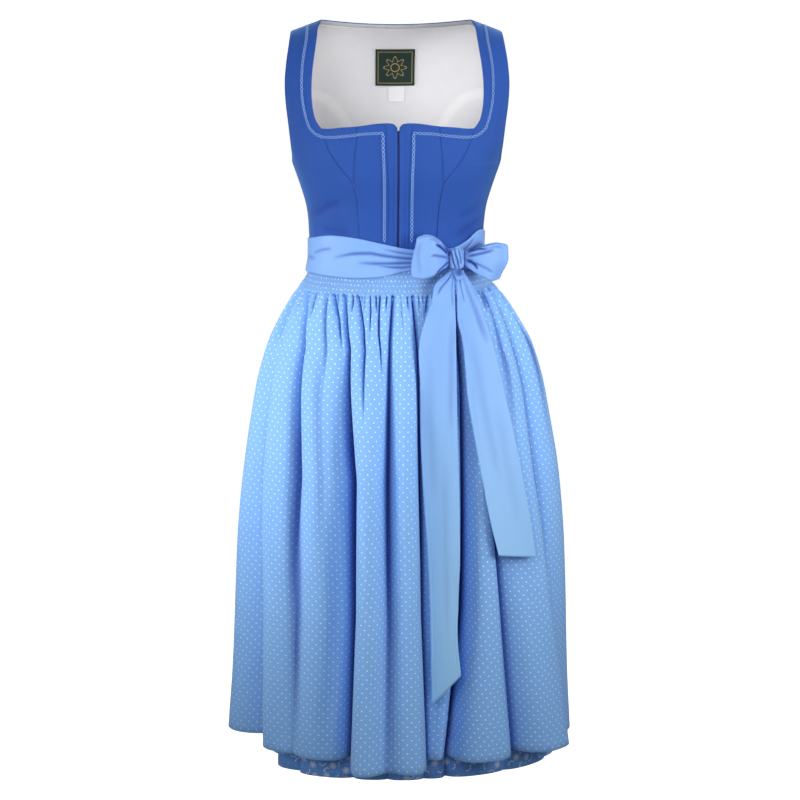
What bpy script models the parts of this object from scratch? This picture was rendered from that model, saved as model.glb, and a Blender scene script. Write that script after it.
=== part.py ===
"""A sleeveless dirndl dress with an apron and a bow, filled out as it is worn.

Metres, +Z up. The front faces -Y and the wearer's left side is at +X. The origin is the middle of the
shoulder line, where the wearer holds the dress up. Tables are in millimetres and degrees: a "drop" is a
distance below the shoulder line, and an angle runs round the body from 0 at the centre front through
90 at the side seam at +X to 180 at the centre back.
"""
import math
from bisect import bisect_right
from collections import namedtuple

import bmesh
import bpy
import numpy as np
from mathutils import Vector

MM = 0.001

# ---------------------------------------------------------------- driving sizes, mm
WAIST_DROP = 336.0          # waist seam
APRON_TOP_DROP = 340.0      # apron's gathered top, under the sash
APRON_HEM_DROP = 1030.0
SKIRT_HEM_DROP = 1065.0
APRON_EDGE_ANGLE = 98.0     # the apron reaches just past the side seams
BODICE_WALL = 1.5
LINING_WALL = 1.0
SKIRT_WALL = 1.5
RIBBON_WALL = 1.3           # sash, bow and tails
LABEL_WALL = 1.0
SEAM_GAP = 0.4              # between cut pieces
LAYER_GAP = 0.5             # between a piece and what lies on it
LINING_GAP = 2.7            # the lining bags a little inside the back
LINING_SET_BACK = 3.0       # below the neck edge
BRAID_GAP = 0.9
CREST_DROP = 0.004          # the shoulder seam stops this short of the crest
ZIP_HALF_GAP = 1.3          # half the slot between the two plackets
ZIP_TAPE_HALF_WIDTH = 9.0
BRAID_WIDTH = 6.4
BRAID_WALL = 1.2
TORSO_POWER = 2.4           # roundness of the bodice's section: 2 is an ellipse
SHOULDER_INNER = 105.0      # neck end of the shoulder seam
SHOULDER_OUTER = 148.0      # arm end of the shoulder seam
SHOULDER_SLOPE = 16.0       # the arm end lies this much lower
SHOULDER_FADE = 100.0
UNDERARM_DROP = 197.0
DART_POINT_DROP = 222.0     # where the bust wedge runs out
BACK_SEAM_DROP = 94.0       # where the back's curved seam leaves the armhole

# ---------------------------------------------------------------- tables
# The bodice's sections: half width at the side seam, depth in front of and behind the side seams.
TORSO_ROWS = [  # drop, half_width, front, back
    (0, 200, 0, 0),
    (3, 199, 18, 30),
    (10, 197, 34, 48),
    (25, 193, 52, 66),
    (50, 187, 72, 83),
    (85, 178, 92, 95),
    (120, 168, 105, 99),
    (150, 160, 113, 99),
    (180, 152, 119, 97),
    (200, 146.5, 120, 95),
    (220, 139.5, 117, 92.5),
    (240, 133, 111, 90),
    (258, 128, 106, 87.5),
    (276, 125.5, 102, 86),
    (300, 124, 99, 85.5),
    (336, 122.5, 98, 86),
]
# Cut lines of the bodice: drop, distance from the centre line.
NECK_SIDE = [(0, 105.3), (5, 108.5), (20, 111), (38, 113.4), (60, 116.5), (89, 118.8), (108, 118.5),
             (124, 116.5), (136, 112.8), (143, 107.8), (146, 104.5)]
CURVED_SEAM = [(146, 104.5), (160, 100.3), (176, 95), (190, 86.5), (204, 75.5), (213, 68.5), (222, 62.4)]
MERGED_SEAM = [(222, 61.5), (240, 58.3), (265, 55.3), (295, 54), (336, 52.5)]
STRAIGHT_SEAM = [(142, 56.5), (162, 57.6), (180, 59.6), (205, 60.8), (222, 60.6)]
PLACKET_SEAM = [(138, 17.4), (172, 17.2), (210, 15.6), (336, 15.2)]
ARMHOLE = [(0, 148), (25, 150.5), (55, 154), (90, 156.3), (116, 155), (140, 152.3), (170, 149.2),
           (188, 147.2), (197, 147.3)]
BACK_SEAM = [(94, 152.6), (104, 107), (118, 86), (133, 73), (151, 63), (180, 57), (220, 53),
             (270, 50), (336, 47)]
# Top edge of the front between the corner of the neckline and the zip: distance from centre, drop.
NECK_FRONT = [(1.3, 144.5), (4.5, 140.2), (10, 138.2), (17.3, 137.9), (28, 138.4), (45, 140.8),
              (56.5, 142.3), (78, 144.2), (97, 146.2), (104.5, 146)]
BACK_NECK_DROP = 7.2
# Shared heights of the bodice's grids, so that neighbours keep the same edge.
BODICE_DROPS = (2, 7, 15, 27, 43, 62, 78, 94, 104, 118, 133, 151, 176, 204, 222, 240, 265, 300, 336)
BRAID_PATH = [  # distance from centre, drop
    (123.2, 1.5), (123.5, 5), (124.2, 12), (125.2, 24), (128, 41), (130.4, 60), (131.5, 82), (130.8, 104), (128.7, 118),
    (125.6, 132), (121.1, 145.4), (113.3, 153.3), (103.5, 157.7), (89, 157.8), (69.6, 155.8),
    (47.8, 152.9), (20.9, 151.5), (20.9, 172), (19.2, 210), (18.9, 251), (18.8, 298)]
BRAID_STEP = 10.0

# The skirt's hanging rings, without folds: half width, depth in front and behind.
SKIRT_RINGS = [  # drop, half_width, front, back
    (336, 121.5, 97, 85.5),
    (352, 122.6, 98.5, 87.5),
    (370, 129.5, 105, 96),
    (390, 140, 109, 103),
    (430, 156, 115, 113),
    (500, 176, 121, 125),
    (560, 186, 125, 133),
    (640, 199, 129, 140),
    (720, 208, 132, 146),
    (810, 215, 135, 151),
    (900, 221, 137, 155),
    (1030, 229, 138, 159),
    (1065, 230, 138, 160),
]
APRON_LIFT = [(340, 3.0), (352, 3.0), (372, 4.5), (400, 7.0), (1030, 7.0)]   # apron over skirt
# Each fold's valley: its angle at five heights, how far its floor stands off the ring, and how high
# the ridge after it stands and leans.
FOLD_HEIGHTS = (370, 450, 630, 820, 1030)
Fold = namedtuple("Fold", "gather upper mid low hem floor_mid floor_hem ridge_upper ridge_mid ridge_hem lean")
APRON_FOLDS = [
    Fold(-98, -100, -107, -113, -120, 0, 0, 8, 7, 13, -0.10),
    Fold(-80, -72, -67, -64, -62, -14, -45, 6, 12, 16, 0.22),
    Fold(-62, -50, -42, -39, -38, 3, 14, 6, 15, 27, 0.0),
    Fold(-33, -25, -18, -16.5, -16.5, 0, 0, 9, 45, 86, -0.10),
    Fold(-4.5, -4.2, -4.3, -3.5, -4, 14, 66, 9, 40, 76, 0.05),
    Fold(8, 9, 8, 7.8, 9, 0, 8, 4, 10, 18, 0.0),
    Fold(34, 30, 26.5, 24, 17, 0, -2, 7, 25, 44, 0.05),
    Fold(50, 42, 36, 38.5, 41.5, 3, 10, 9, 22, 50, 0.10),
    Fold(72, 68, 64, 66, 70, 3, 6, 19, 21, 21, 0.05),
    Fold(98, 98, 99, 100, 101, 0, 0, 0, 0, 0, 0.0),
]
SKIRT_FOLDS = [
    Fold(-98, -98, -98, -98, -98, -16, -44, -1, -16, -46, 0.0),
    Fold(-80, -72, -67, -64, -62, -20, -60, -1, -6, -8, 0.22),
    Fold(-62, -50, -42, -39, -38, -2, -2, 1, 3, 4, 0.0),
    Fold(-33, -25, -18, -16.5, -16.5, -2, -3, 1, 4, 5, 0.0),
    Fold(-4.5, -4.2, -4.3, -3.5, -4, -2, 0, 1, 3, 6, 0.0),
    Fold(8, 9, 8, 7.8, 9, -1, 0, 1, 2, 3, 0.0),
    Fold(34, 30, 26.5, 24, 17, -3, -6, 1, 4, 5, 0.0),
    Fold(50, 42, 36, 38.5, 41.5, -1, 0, 1, 4, 5, 0.0),
    Fold(72, 68, 64, 66, 70, 0, 0, 1, 3, 4, 0.0),
    Fold(98, 98, 98, 98, 98, -1, -4, 1, 3, 6, 0.0),
    Fold(108, 109, 110, 111, 111, 0, 0, 7, 14, 32, 0.0),
    Fold(121, 122, 124, 125, 126, -2, -5, 9, 22, 48, 0.05),
    Fold(137, 138, 141, 143, 144, 1, 3, 6, 13, 26, 0.0),
    Fold(149, 151, 154, 157, 158, 0, -3, 9, 24, 52, -0.05),
    Fold(164, 166, 169, 171, 173, 2, 4, 7, 15, 30, 0.0),
    Fold(177, 179, 181, 183, 185, 0, 0, 9, 23, 47, 0.05),
    Fold(191, 192, 195, 197, 199, 1, 2, 6, 12, 25, 0.0),
    Fold(206, 207, 209, 211, 214, -2, -4, 9, 25, 52, 0.0),
    Fold(222, 222, 223, 224, 226, 2, 3, 6, 14, 31, -0.05),
    Fold(236, 235, 235, 235, 236, -5, -14, 1, -3, -12, -0.1),
    Fold(250, 249, 248, 247, 246, -14, -38, 0, -14, -38, 0.0),
    Fold(262, 262, 262, 262, 262, -16, -44, -1, -16, -46, 0.0),
]
GATHER_RIDGE_SHARE = 0.35   # of a ridge's upper height already stands at the gathering
SASH_CLEAR = (357.0, 378.0)  # and nothing of it under the sash
RIDGE_SQUEEZE = 0.75        # 1 would stand the flanks of a ridge upright at its valley
UNCOVER_ANGLES = (98.0, 112.0)
GATHER_PITCH = 3.9          # degrees of gathered top edge for each small gather
GATHER_HEIGHTS = [(336, 0.3), (352, 0.7), (366, 1.0), (376, 2.0), (392, 2.2), (440, 1.4), (520, 0.5),
                  (600, 0.0), (1065, 0.0)]
MINOR_PITCH = 7.9           # and for each small fold below them
MINOR_HEIGHTS = [(336, 0.0), (380, 0.3), (430, 2.0), (560, 3.4), (760, 3.0), (1030, 1.8), (1065, 1.8)]

# The sash's rings and its edges round the waist.
SASH_RINGS = [(286, 127.0, 102.8, 88.0), (300, 126.3, 101.6, 87.8), (320, 126.2, 101.6, 88.3),
              (340, 127.8, 103.6, 90.2), (356, 130.5, 106.4, 93.8)]
SASH_EDGES = [  # angle, top_drop, bottom_drop
    (-180, 303, 350), (-120, 305, 352), (-90, 306, 353), (-70, 301, 350), (-47, 295, 351),
    (-25, 298, 352), (-10, 304.5, 349.5), (8, 312, 341), (25, 312, 340), (39, 311, 339),
    (50, 303, 342), (62, 292, 348), (90, 296, 352), (130, 301, 351), (180, 303, 350)]
KNOT_ANGLE = 38.5
SASH_END_ANGLE = 0.4

# The bow. x and drop in mm, and y as depth in front of the shoulder line.
KNOT_CENTRE = (81.5, -96.6, 325.5)
KNOT_SIZE = (24.0, 17.0, 31.0)
LoopRow = namedtuple("LoopRow", "along top bottom depth swell")
RIGHT_LOOP = [  # from the knot outwards: x, upper and lower edge, y of the middle, half thickness
    LoopRow(70.6, 317, 335, -97.6, 3.0),
    LoopRow(61, 303, 339.5, -106.5, 8.0),
    LoopRow(48, 293, 346, -114.5, 11.0),
    LoopRow(33, 291, 350, -116, 11.0),
    LoopRow(22, 293, 349, -115, 7.5),
]
LEFT_LOOP = [
    LoopRow(92.1, 316, 335, -96.6, 3.0),
    LoopRow(104, 312.5, 343, -97, 7.0),
    LoopRow(119, 308, 351, -94, 10.5),
    LoopRow(136, 305, 357, -87, 10.5),
    LoopRow(148.5, 307, 356, -81, 6.5),
]
TailRow = namedtuple("TailRow", "drop left right y_left y_right swell")
RIGHT_TAIL = [
    TailRow(341.3, 72.5, 80.3, -97.5, -96.5, 0.5),
    TailRow(356, 53, 78, -113, -111, 2.0),
    TailRow(380, 45.5, 78.3, -124, -121, 3.0),
    TailRow(406, 36, 79, -134, -130, 4.0),
    TailRow(432, 29, 79.3, -138, -134, 4.5),
    TailRow(490, 28.8, 80.2, -145, -140, 4.0),
    TailRow(558, 29.3, 81, -151, -148, 3.0),
    TailRow(626, 32, 83, -156, -154, 3.5),
    TailRow(680, 35.5, 84, -160, -159, 3.0),
    TailRow(740, 39.5, 84.5, -164, -164, 3.0),
    TailRow(800, 42, 82, -168, -168, 2.5),
    TailRow(850, 43, 81.5, -171, -172, 2.5),
    TailRow(902, 45, 86, -174, -175, 2.0),
]
RIGHT_TAIL_POINT = 43.0      # the cut end's point hangs this far below its short side
LEFT_TAIL = [
    TailRow(341.3, 82.6, 90, -96.5, -95.5, 0.5),
    TailRow(356, 80.5, 100, -111, -105, 2.0),
    TailRow(380, 80.5, 112, -121, -112, 3.0),
    TailRow(406, 81, 121, -130, -118, 4.0),
    TailRow(436, 87.5, 130.5, -134, -122, 4.0),
    TailRow(476, 92, 141, -140, -125, 3.5),
    TailRow(516, 95.5, 150, -145, -126, 3.0),
    TailRow(555, 102, 159, -149, -127, 3.0),
    TailRow(604, 111, 169.5, -153, -128, 2.5),
    TailRow(654, 120.5, 179.5, -157, -128, 2.5),
    TailRow(690, 128, 186, -160, -128, 2.0),
    TailRow(733, 139, 194, -162, -128, 1.5),
]
LEFT_TAIL_POINT = -11.0
UNDER_LOOP_X = (77.5, 91.0)
UNDER_LOOP_DROPS = (340.6, 353.0)
LABEL_BOX = (-28.0, 29.0, 40.0, 95.0)        # x from, x to, top drop, bottom drop
CARE_LABEL_BOX = (-9.0, 14.0, 96.0, 119.0)

# ---------------------------------------------------------------- colours
COLOURS = {  # material: base colour, roughness
    "bodice_twill": ((0.035, 0.118, 0.46), 0.75),
    "lining_white": ((0.70, 0.70, 0.72), 0.85),
    "apron_cotton": ((0.28, 0.48, 0.85), 0.8),
    "skirt_print": ((0.08, 0.18, 0.42), 0.8),
    "sash_satin": ((0.28, 0.50, 0.93), 0.5),
    "braid": ((0.20, 0.42, 0.84), 0.7),
    "label_weave": ((0.01, 0.03, 0.025), 0.7),
    "zip_tape": ((0.01, 0.025, 0.14), 0.7),
}


# ---------------------------------------------------------------- curves through short tables
def profile(rows, warp=float):
    """Return a function giving the row's other columns at any key, on a smooth curve."""
    keys = [warp(row[0]) for row in rows]
    values = np.array([row[1:] for row in rows], float)
    slopes = np.gradient(values, keys, axis=0)

    def at(key):
        place = warp(key)
        i = min(max(bisect_right(keys, place) - 1, 0), len(keys) - 2)
        step = keys[i + 1] - keys[i]
        t = min(max((place - keys[i]) / step, 0.0), 1.0)
        rise = t * t * (3 - 2 * t)
        value = values[i] * (1 - rise) + values[i + 1] * rise
        value = value + step * t * (1 - t) * ((1 - t) * slopes[i] - t * slopes[i + 1])
        return value if len(value) > 1 else float(value[0])

    return at


def root(drop):
    """The shoulder rounds over like a square root of the drop."""
    return math.sqrt(max(drop, 0.0))


def mix(a, b, t):
    return a + (b - a) * t


def smoothstep(low, high, value):
    t = min(max((value - low) / (high - low), 0.0), 1.0)
    return t * t * (3 - 2 * t)


torso_section = profile(TORSO_ROWS, root)
neck_side = profile(NECK_SIDE)
curved_seam = profile(CURVED_SEAM)
merged_seam = profile(MERGED_SEAM)
straight_seam = profile(STRAIGHT_SEAM)
placket_seam = profile(PLACKET_SEAM)
armhole = profile(ARMHOLE)
back_seam = profile(BACK_SEAM)
neck_front = profile(NECK_FRONT)
skirt_ring = profile(SKIRT_RINGS)
apron_lift = profile(APRON_LIFT)
gather_height = profile(GATHER_HEIGHTS)
minor_height = profile(MINOR_HEIGHTS)
sash_ring = profile(SASH_RINGS)
sash_edge = profile(SASH_EDGES)


# ---------------------------------------------------------------- the bodice's surface
def torso_point(angle, drop):
    """A point of the filled-out bodice, in mm."""
    half, front, back = torso_section(drop)
    across = math.sin(math.radians(angle))
    depth = (1 - abs(across) ** TORSO_POWER) ** (1 / TORSO_POWER) if abs(across) < 1 else 0.0
    y = -front * depth if math.cos(math.radians(angle)) >= 0 else back * depth
    x = half * across
    outward = min(max((abs(x) - SHOULDER_INNER) / (SHOULDER_OUTER - SHOULDER_INNER), 0.0), 1.2)
    fade = max(1 - drop / SHOULDER_FADE, 0.0) ** 2
    return Vector((x, y, -drop - SHOULDER_SLOPE * outward * fade))


def torso_normal(angle, drop):
    """The outward direction of the bodice at a point."""
    low = max(drop - 1.0, 0.02)
    round_body = torso_point(angle + 0.5, drop) - torso_point(angle - 0.5, drop)
    downwards = torso_point(angle, drop + 1.0) - torso_point(angle, low)
    return downwards.cross(round_body).normalized()


def torso_angle(x, drop, behind=False):
    """The angle at which the bodice stands at a distance x from the centre line."""
    half = torso_section(drop)[0]
    angle = math.degrees(math.asin(min(max(x / half, -1.0), 1.0)))
    return 180 - angle if behind else angle


def inset_angle(edge, other, drop, distance):
    """Move an edge's angle towards the other edge by a distance on the surface."""
    start = torso_point(edge, drop)
    near, far = 0.0, 1.0
    for _ in range(24):
        middle = (near + far) / 2
        if (torso_point(mix(edge, other, middle), drop) - start).length < distance:
            near = middle
        else:
            far = middle
    return mix(edge, other, near)


# ---------------------------------------------------------------- the skirt's and apron's surface
def at_heights(values, drop):
    return float(np.interp(drop, FOLD_HEIGHTS, values))


def grown(at_upper, at_mid, at_hem, drop):
    """A fold's height as it grows from the gathering down to the hem."""
    values = (GATHER_RIDGE_SHARE * at_upper, at_upper, at_mid, (at_mid + at_hem) / 2, at_hem)
    return at_heights(values, drop) * smoothstep(SASH_CLEAR[0], SASH_CLEAR[1], drop)


def fold_at(folds, cloth, drop):
    """Angle and height off the ring for a thread of the cloth, named by its angle at the gathering."""
    i = min(max(bisect_right([fold.gather for fold in folds], cloth) - 1, 0), len(folds) - 2)
    fold, after = folds[i], folds[i + 1]
    t = (cloth - fold.gather) / (after.gather - fold.gather)
    squeeze = RIDGE_SQUEEZE * smoothstep(FOLD_HEIGHTS[0], FOLD_HEIGHTS[2], drop)
    lean = fold.lean * smoothstep(FOLD_HEIGHTS[0], FOLD_HEIGHTS[-1], drop)
    shift = lean * math.sin(math.pi * t) - squeeze * math.sin(2 * math.pi * t) / (2 * math.pi)
    angle = mix(at_heights(fold[:5], drop), at_heights(after[:5], drop), t + shift)
    floor_a = grown(0.4 * fold.floor_mid, fold.floor_mid, fold.floor_hem, drop)
    floor_b = grown(0.4 * after.floor_mid, after.floor_mid, after.floor_hem, drop)
    ridge = grown(fold.ridge_upper, fold.ridge_mid, fold.ridge_hem, drop)
    crown = (1 - math.cos(2 * math.pi * t)) / 2
    return angle, mix(mix(floor_a, floor_b, smoothstep(0, 1, t)), ridge, crown)


def ring_point(angle, drop, lift):
    """A point on the skirt's ring, moved out by the lift."""
    half, front, back = skirt_ring(drop)
    depth = front if math.cos(math.radians(angle)) >= 0 else back
    sine, cosine = math.sin(math.radians(angle)), math.cos(math.radians(angle))
    outward = Vector((sine * depth, -cosine * half, 0)).normalized()
    return Vector((half * sine, -depth * cosine, -drop)) + outward * lift


def small_waves(cloth, drop):
    """The gathers below the waist and the small folds that they open into."""
    uneven = cloth + 1.1 * math.sin(cloth * 0.13 + 0.6) + 0.7 * math.sin(cloth * 0.31)
    gathers = gather_height(drop) * math.sin(2 * math.pi * uneven / GATHER_PITCH)
    uneven = cloth + 2.2 * math.sin(cloth * 0.09 + 2.0) + 1.2 * math.sin(cloth * 0.21 + 1.0)
    return gathers + minor_height(drop) * math.sin(2 * math.pi * uneven / MINOR_PITCH)


def apron_point(cloth, drop):
    angle, height = fold_at(APRON_FOLDS, cloth, drop)
    return ring_point(angle, drop, apron_lift(drop) + height + small_waves(cloth, drop))


def skirt_point(cloth, drop):
    """The skirt under the apron hangs almost smooth, and behind it the skirt has its own folds."""
    angle, height = fold_at(SKIRT_FOLDS, cloth, drop)
    turned = abs(cloth if cloth <= 180 else cloth - 360)
    shown = smoothstep(UNCOVER_ANGLES[0], UNCOVER_ANGLES[1], turned)
    return ring_point(angle, drop, height + shown * small_waves(cloth, drop))


# ---------------------------------------------------------------- Blender helpers
def clear_scene():
    for thing in list(bpy.data.objects):
        bpy.data.objects.remove(thing, do_unlink=True)


def make_materials():
    made = {}
    for name, (colour, roughness) in COLOURS.items():
        material = bpy.data.materials.new(name)
        material.use_nodes = True
        shader = material.node_tree.nodes["Principled BSDF"]
        shader.inputs["Base Color"].default_value = (*colour, 1.0)
        shader.inputs["Roughness"].default_value = roughness
        made[name] = material
    return made


def add_mesh(name, mesh_data, material):
    mesh = bpy.data.meshes.new(name)
    mesh_data.to_mesh(mesh)
    mesh_data.free()
    mesh.materials.append(MATERIALS[material])
    thing = bpy.data.objects.new(name, mesh)
    DRESS.objects.link(thing)
    return thing


def face_outwards(sheet, centre):
    """Turn a sheet's faces away from a vertical axis through the centre, or from the centre itself."""
    total = 0.0
    sheet.normal_update()
    for face in sheet.faces:
        away = face.calc_center_median() - centre(face.calc_center_median())
        total += face.normal.dot(away) * face.calc_area()
    if total < 0:
        bmesh.ops.reverse_faces(sheet, faces=sheet.faces)


def body_axis(point):
    return Vector((0, 0, point.z))


def cloth(name, points, wall, material, centre=body_axis):
    """A cloth piece: rows of points in mm, rows down and columns across, given a wall inwards."""
    rows, columns = len(points), len(points[0])
    sheet = bmesh.new()
    bmesh.ops.create_grid(sheet, x_segments=columns - 1, y_segments=rows - 1, size=1)
    sheet.verts.ensure_lookup_table()
    for index, vertex in enumerate(sheet.verts):
        row, column = divmod(index, columns)
        vertex.co = points[row][column] * MM
    face_outwards(sheet, centre)
    return add_wall(add_mesh(name, sheet, material), wall)


def add_wall(thing, wall):
    solidify = thing.modifiers.new("wall", "SOLIDIFY")
    solidify.thickness = wall * MM
    solidify.offset = -1
    return thing


def gathered_cloth(name, rows_of_points, wall, material):
    """A cloth piece whose lower rows have half as many columns as its gathered upper rows."""
    sheet = bmesh.new()
    rows = [[sheet.verts.new(point * MM) for point in row] for row in rows_of_points]
    for upper, lower in zip(rows, rows[1:]):
        if len(upper) == len(lower):
            for i in range(len(upper) - 1):
                sheet.faces.new((upper[i], lower[i], lower[i + 1], upper[i + 1]))
            continue
        for i in range(len(lower) - 1):
            a, b, c = upper[2 * i], upper[2 * i + 1], upper[2 * i + 2]
            sheet.faces.new((a, lower[i], b))
            sheet.faces.new((b, lower[i], lower[i + 1]))
            sheet.faces.new((b, lower[i + 1], c))
    face_outwards(sheet, body_axis)
    return add_wall(add_mesh(name, sheet, material), wall)


# ---------------------------------------------------------------- bodice pieces
def bodice_rows(top, bottom):
    return [drop for drop in BODICE_DROPS if top < drop <= bottom]


def bodice_grid(edge_a, edge_b, top, rows, columns, behind=False, lift=0.0, spread=float):
    """Points between two cut lines. An edge gives its distance from the centre line at a drop."""
    grid = []
    first = [top(i / columns) for i in range(columns + 1)]
    for drop in [None] + rows:
        line = []
        for i in range(columns + 1):
            here = first[i] if drop is None else drop
            if behind and drop is not None and drop < 62:
                here = mix(first[i], 62, drop / 62)
            a = torso_angle(edge_a(here), here, behind)
            b = torso_angle(edge_b(here), here, behind)
            a, b = inset_angle(a, b, here, SEAM_GAP / 2), inset_angle(b, a, here, SEAM_GAP / 2)
            angle = mix(a, b, spread(i / columns))
            point = torso_point(angle, here)
            if lift:
                point += torso_normal(angle, here) * lift
            line.append(point)
        grid.append(line)
    return grid


def towards_side(u):
    """Columns that lie closer together at the side seam, where the body turns."""
    return 1 - (1 - u) ** 1.4


def side_edge(drop):
    """The armhole, and below it the side seam."""
    if drop < UNDERARM_DROP:
        return armhole(drop)
    return torso_section(drop)[0]


def front_inner_edge(drop):
    """Neckline, then the curved seam, then the seam that it merges into."""
    if drop < 146:
        return neck_side(drop)
    return curved_seam(drop) if drop <= DART_POINT_DROP else merged_seam(drop)


def center_outer_edge(drop):
    return straight_seam(drop) if drop <= DART_POINT_DROP else merged_seam(drop)


def back_outer_edge(drop):
    return armhole(drop) if drop < BACK_SEAM_DROP else back_seam(drop)


def signed(edge, side):
    return lambda drop: side * edge(drop)


def make_front(side, word):
    zip_edge = signed(lambda drop: ZIP_HALF_GAP, side)
    seam = signed(placket_seam, side)
    top = lambda u: neck_front(mix(1.3, 17.3, u))
    points = bodice_grid(zip_edge, seam, top, bodice_rows(145, WAIST_DROP), 3)
    cloth("placket_" + word, points, BODICE_WALL, "bodice_twill")

    top = lambda u: neck_front(mix(17.5, 56.3, u))
    points = bodice_grid(seam, signed(center_outer_edge, side), top, bodice_rows(145, WAIST_DROP), 3)
    cloth("front_center_" + word, points, BODICE_WALL, "bodice_twill")

    top = lambda u: neck_front(mix(56.7, 104.3, u))
    wedge_outer = lambda drop: curved_seam(max(drop, 146))
    points = bodice_grid(signed(straight_seam, side), signed(wedge_outer, side), top,
                         bodice_rows(148, DART_POINT_DROP), 3)
    cloth("bust_wedge_" + word, points, BODICE_WALL, "bodice_twill")

    points = bodice_grid(signed(front_inner_edge, side), signed(side_edge, side), lambda u: CREST_DROP,
                         bodice_rows(0, WAIST_DROP), 6, spread=towards_side)
    cloth("side_front_" + word, points, BODICE_WALL, "bodice_twill")


def make_back():
    def top(u):
        x = mix(-SHOULDER_OUTER, SHOULDER_OUTER, u)
        return CREST_DROP + BACK_NECK_DROP * max(1 - (x / SHOULDER_INNER) ** 2, 0.0)

    points = bodice_grid(signed(back_outer_edge, -1), signed(back_outer_edge, 1), top,
                         bodice_rows(0, WAIST_DROP), 14, behind=True)
    cloth("back_center", points, BODICE_WALL, "bodice_twill")

    lining = bodice_grid(signed(lambda drop: side_edge(drop) - 1.0, -1),
                         signed(lambda drop: side_edge(drop) - 1.0, 1),
                         lambda u: top(u) + LINING_SET_BACK, bodice_rows(0, WAIST_DROP)[1:], 10, behind=True,
                         lift=-(BODICE_WALL + LINING_GAP))
    cloth("lining_back", lining, LINING_WALL, "lining_white")

    for side, word in ((1, "left"), (-1, "right")):
        points = bodice_grid(signed(back_seam, side), signed(side_edge, side),
                             lambda u: BACK_SEAM_DROP, bodice_rows(BACK_SEAM_DROP, WAIST_DROP), 5,
                             behind=True, spread=towards_side)
        cloth("side_back_" + word, points, BODICE_WALL, "bodice_twill")


def make_label(name, box, lift):
    left, right, top, bottom = box
    points = []
    for row in range(4):
        drop = mix(top, bottom, row / 3)
        line = []
        for column in range(3):
            angle = torso_angle(mix(left, right, column / 2), drop, True)
            line.append(torso_point(angle, drop) + torso_normal(angle, drop) * lift)
        points.append(line)
    cloth(name, points, LABEL_WALL, "label_weave" if name == "label" else "lining_white")


def make_labels():
    clear_of_lining = -(BODICE_WALL + LINING_GAP + LINING_WALL + 2 * LAYER_GAP)
    make_label("label", LABEL_BOX, clear_of_lining)
    make_label("care_label", CARE_LABEL_BOX, clear_of_lining)


def braid_line():
    """The braid's middle, as evenly spaced points (distance from centre, drop)."""
    line = [Vector(BRAID_PATH[0])]
    for a, b in zip(BRAID_PATH, BRAID_PATH[1:]):
        count = max(1, round((Vector(b) - Vector(a)).length / BRAID_STEP))
        line += [Vector(a).lerp(Vector(b), i / count) for i in range(1, count + 1)]
    return line


def make_braid(side, word):
    """A flat braid round the neckline and down the placket, with a mitred corner."""
    line = braid_line()
    points = []
    for i, middle in enumerate(line):
        before = (middle - line[max(i - 1, 0)]).normalized() if i else None
        after = (line[min(i + 1, len(line) - 1)] - middle).normalized() if i < len(line) - 1 else None
        before, after = before or after, after or before
        across = Vector((-before.y - after.y, before.x + after.x)).normalized()
        mitre = 1 / max(across.dot(Vector((-after.y, after.x))), 0.6)
        ends = []
        for half in (-BRAID_WIDTH / 2, BRAID_WIDTH / 2):
            x, drop = middle + across * half * mitre
            angle = torso_angle(side * x, drop)
            lift = BRAID_WALL + BRAID_GAP
            ends.append(torso_point(angle, drop) + torso_normal(angle, drop) * lift)
        points.append(ends)
    cloth("braid_" + word, points, BRAID_WALL, "braid")


def make_zip():
    """The closed zip's tape, seen in the slot between the plackets."""
    points = []
    for drop in [147.0] + bodice_rows(148, WAIST_DROP - 20) + [WAIST_DROP - 4]:
        line = []
        for x in (-ZIP_TAPE_HALF_WIDTH, 0, ZIP_TAPE_HALF_WIDTH):
            angle = torso_angle(x, drop)
            line.append(torso_point(angle, drop) - torso_normal(angle, drop) * (BODICE_WALL + LAYER_GAP))
        points.append(line)
    cloth("zip_tape", points, LABEL_WALL, "zip_tape")


# ---------------------------------------------------------------- apron and skirt
def ring_rows(surface, start, end, fine, fine_drops, coarse_drops):
    """Rows of points round a ring, with half as many columns in the lower rows."""
    rows = []
    for drops, count in ((fine_drops, fine), (coarse_drops, fine // 2)):
        for drop in drops:
            rows.append([surface(mix(start, end, i / count), drop) for i in range(count + 1)])
    return rows


def make_skirts():
    apron = ring_rows(apron_point, -APRON_EDGE_ANGLE, APRON_EDGE_ANGLE, 196,
                      (APRON_TOP_DROP, 357, 376, 400, 440), (510, 610, 750, 890, APRON_HEM_DROP))
    gathered_cloth("apron", apron, SKIRT_WALL, "apron_cotton")
    seam = SEAM_GAP / 4
    back = ring_rows(skirt_point, 90 + seam, 270 - seam, 128,
                     (WAIST_DROP + SEAM_GAP, 357, 376, 400, 440), (510, 640, 830, SKIRT_HEM_DROP))
    gathered_cloth("skirt_back", back, SKIRT_WALL, "skirt_print")
    front = [[skirt_point(mix(-90 + seam, 90 - seam, i / 48), drop) for i in range(49)]
             for drop in (WAIST_DROP + SEAM_GAP, 357, 376, 400, 440, 630, 830, SKIRT_HEM_DROP)]
    cloth("skirt_front", front, SKIRT_WALL, "skirt_print")


# ---------------------------------------------------------------- sash and bow
def sash_point(angle, across):
    """A point of the sash: across is 0 at its upper edge and 1 at its lower edge."""
    turned = (angle + 180) % 360 - 180
    top, bottom = sash_edge(turned)
    drop = mix(top, bottom, across)
    half, front, back = sash_ring(drop)
    sine = math.sin(math.radians(turned))
    depth = (1 - min(abs(sine), 1.0) ** TORSO_POWER) ** (1 / TORSO_POWER)
    y = -front * depth if abs(turned) <= 90 else back * depth
    return Vector((half * sine, y, -drop))


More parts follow.
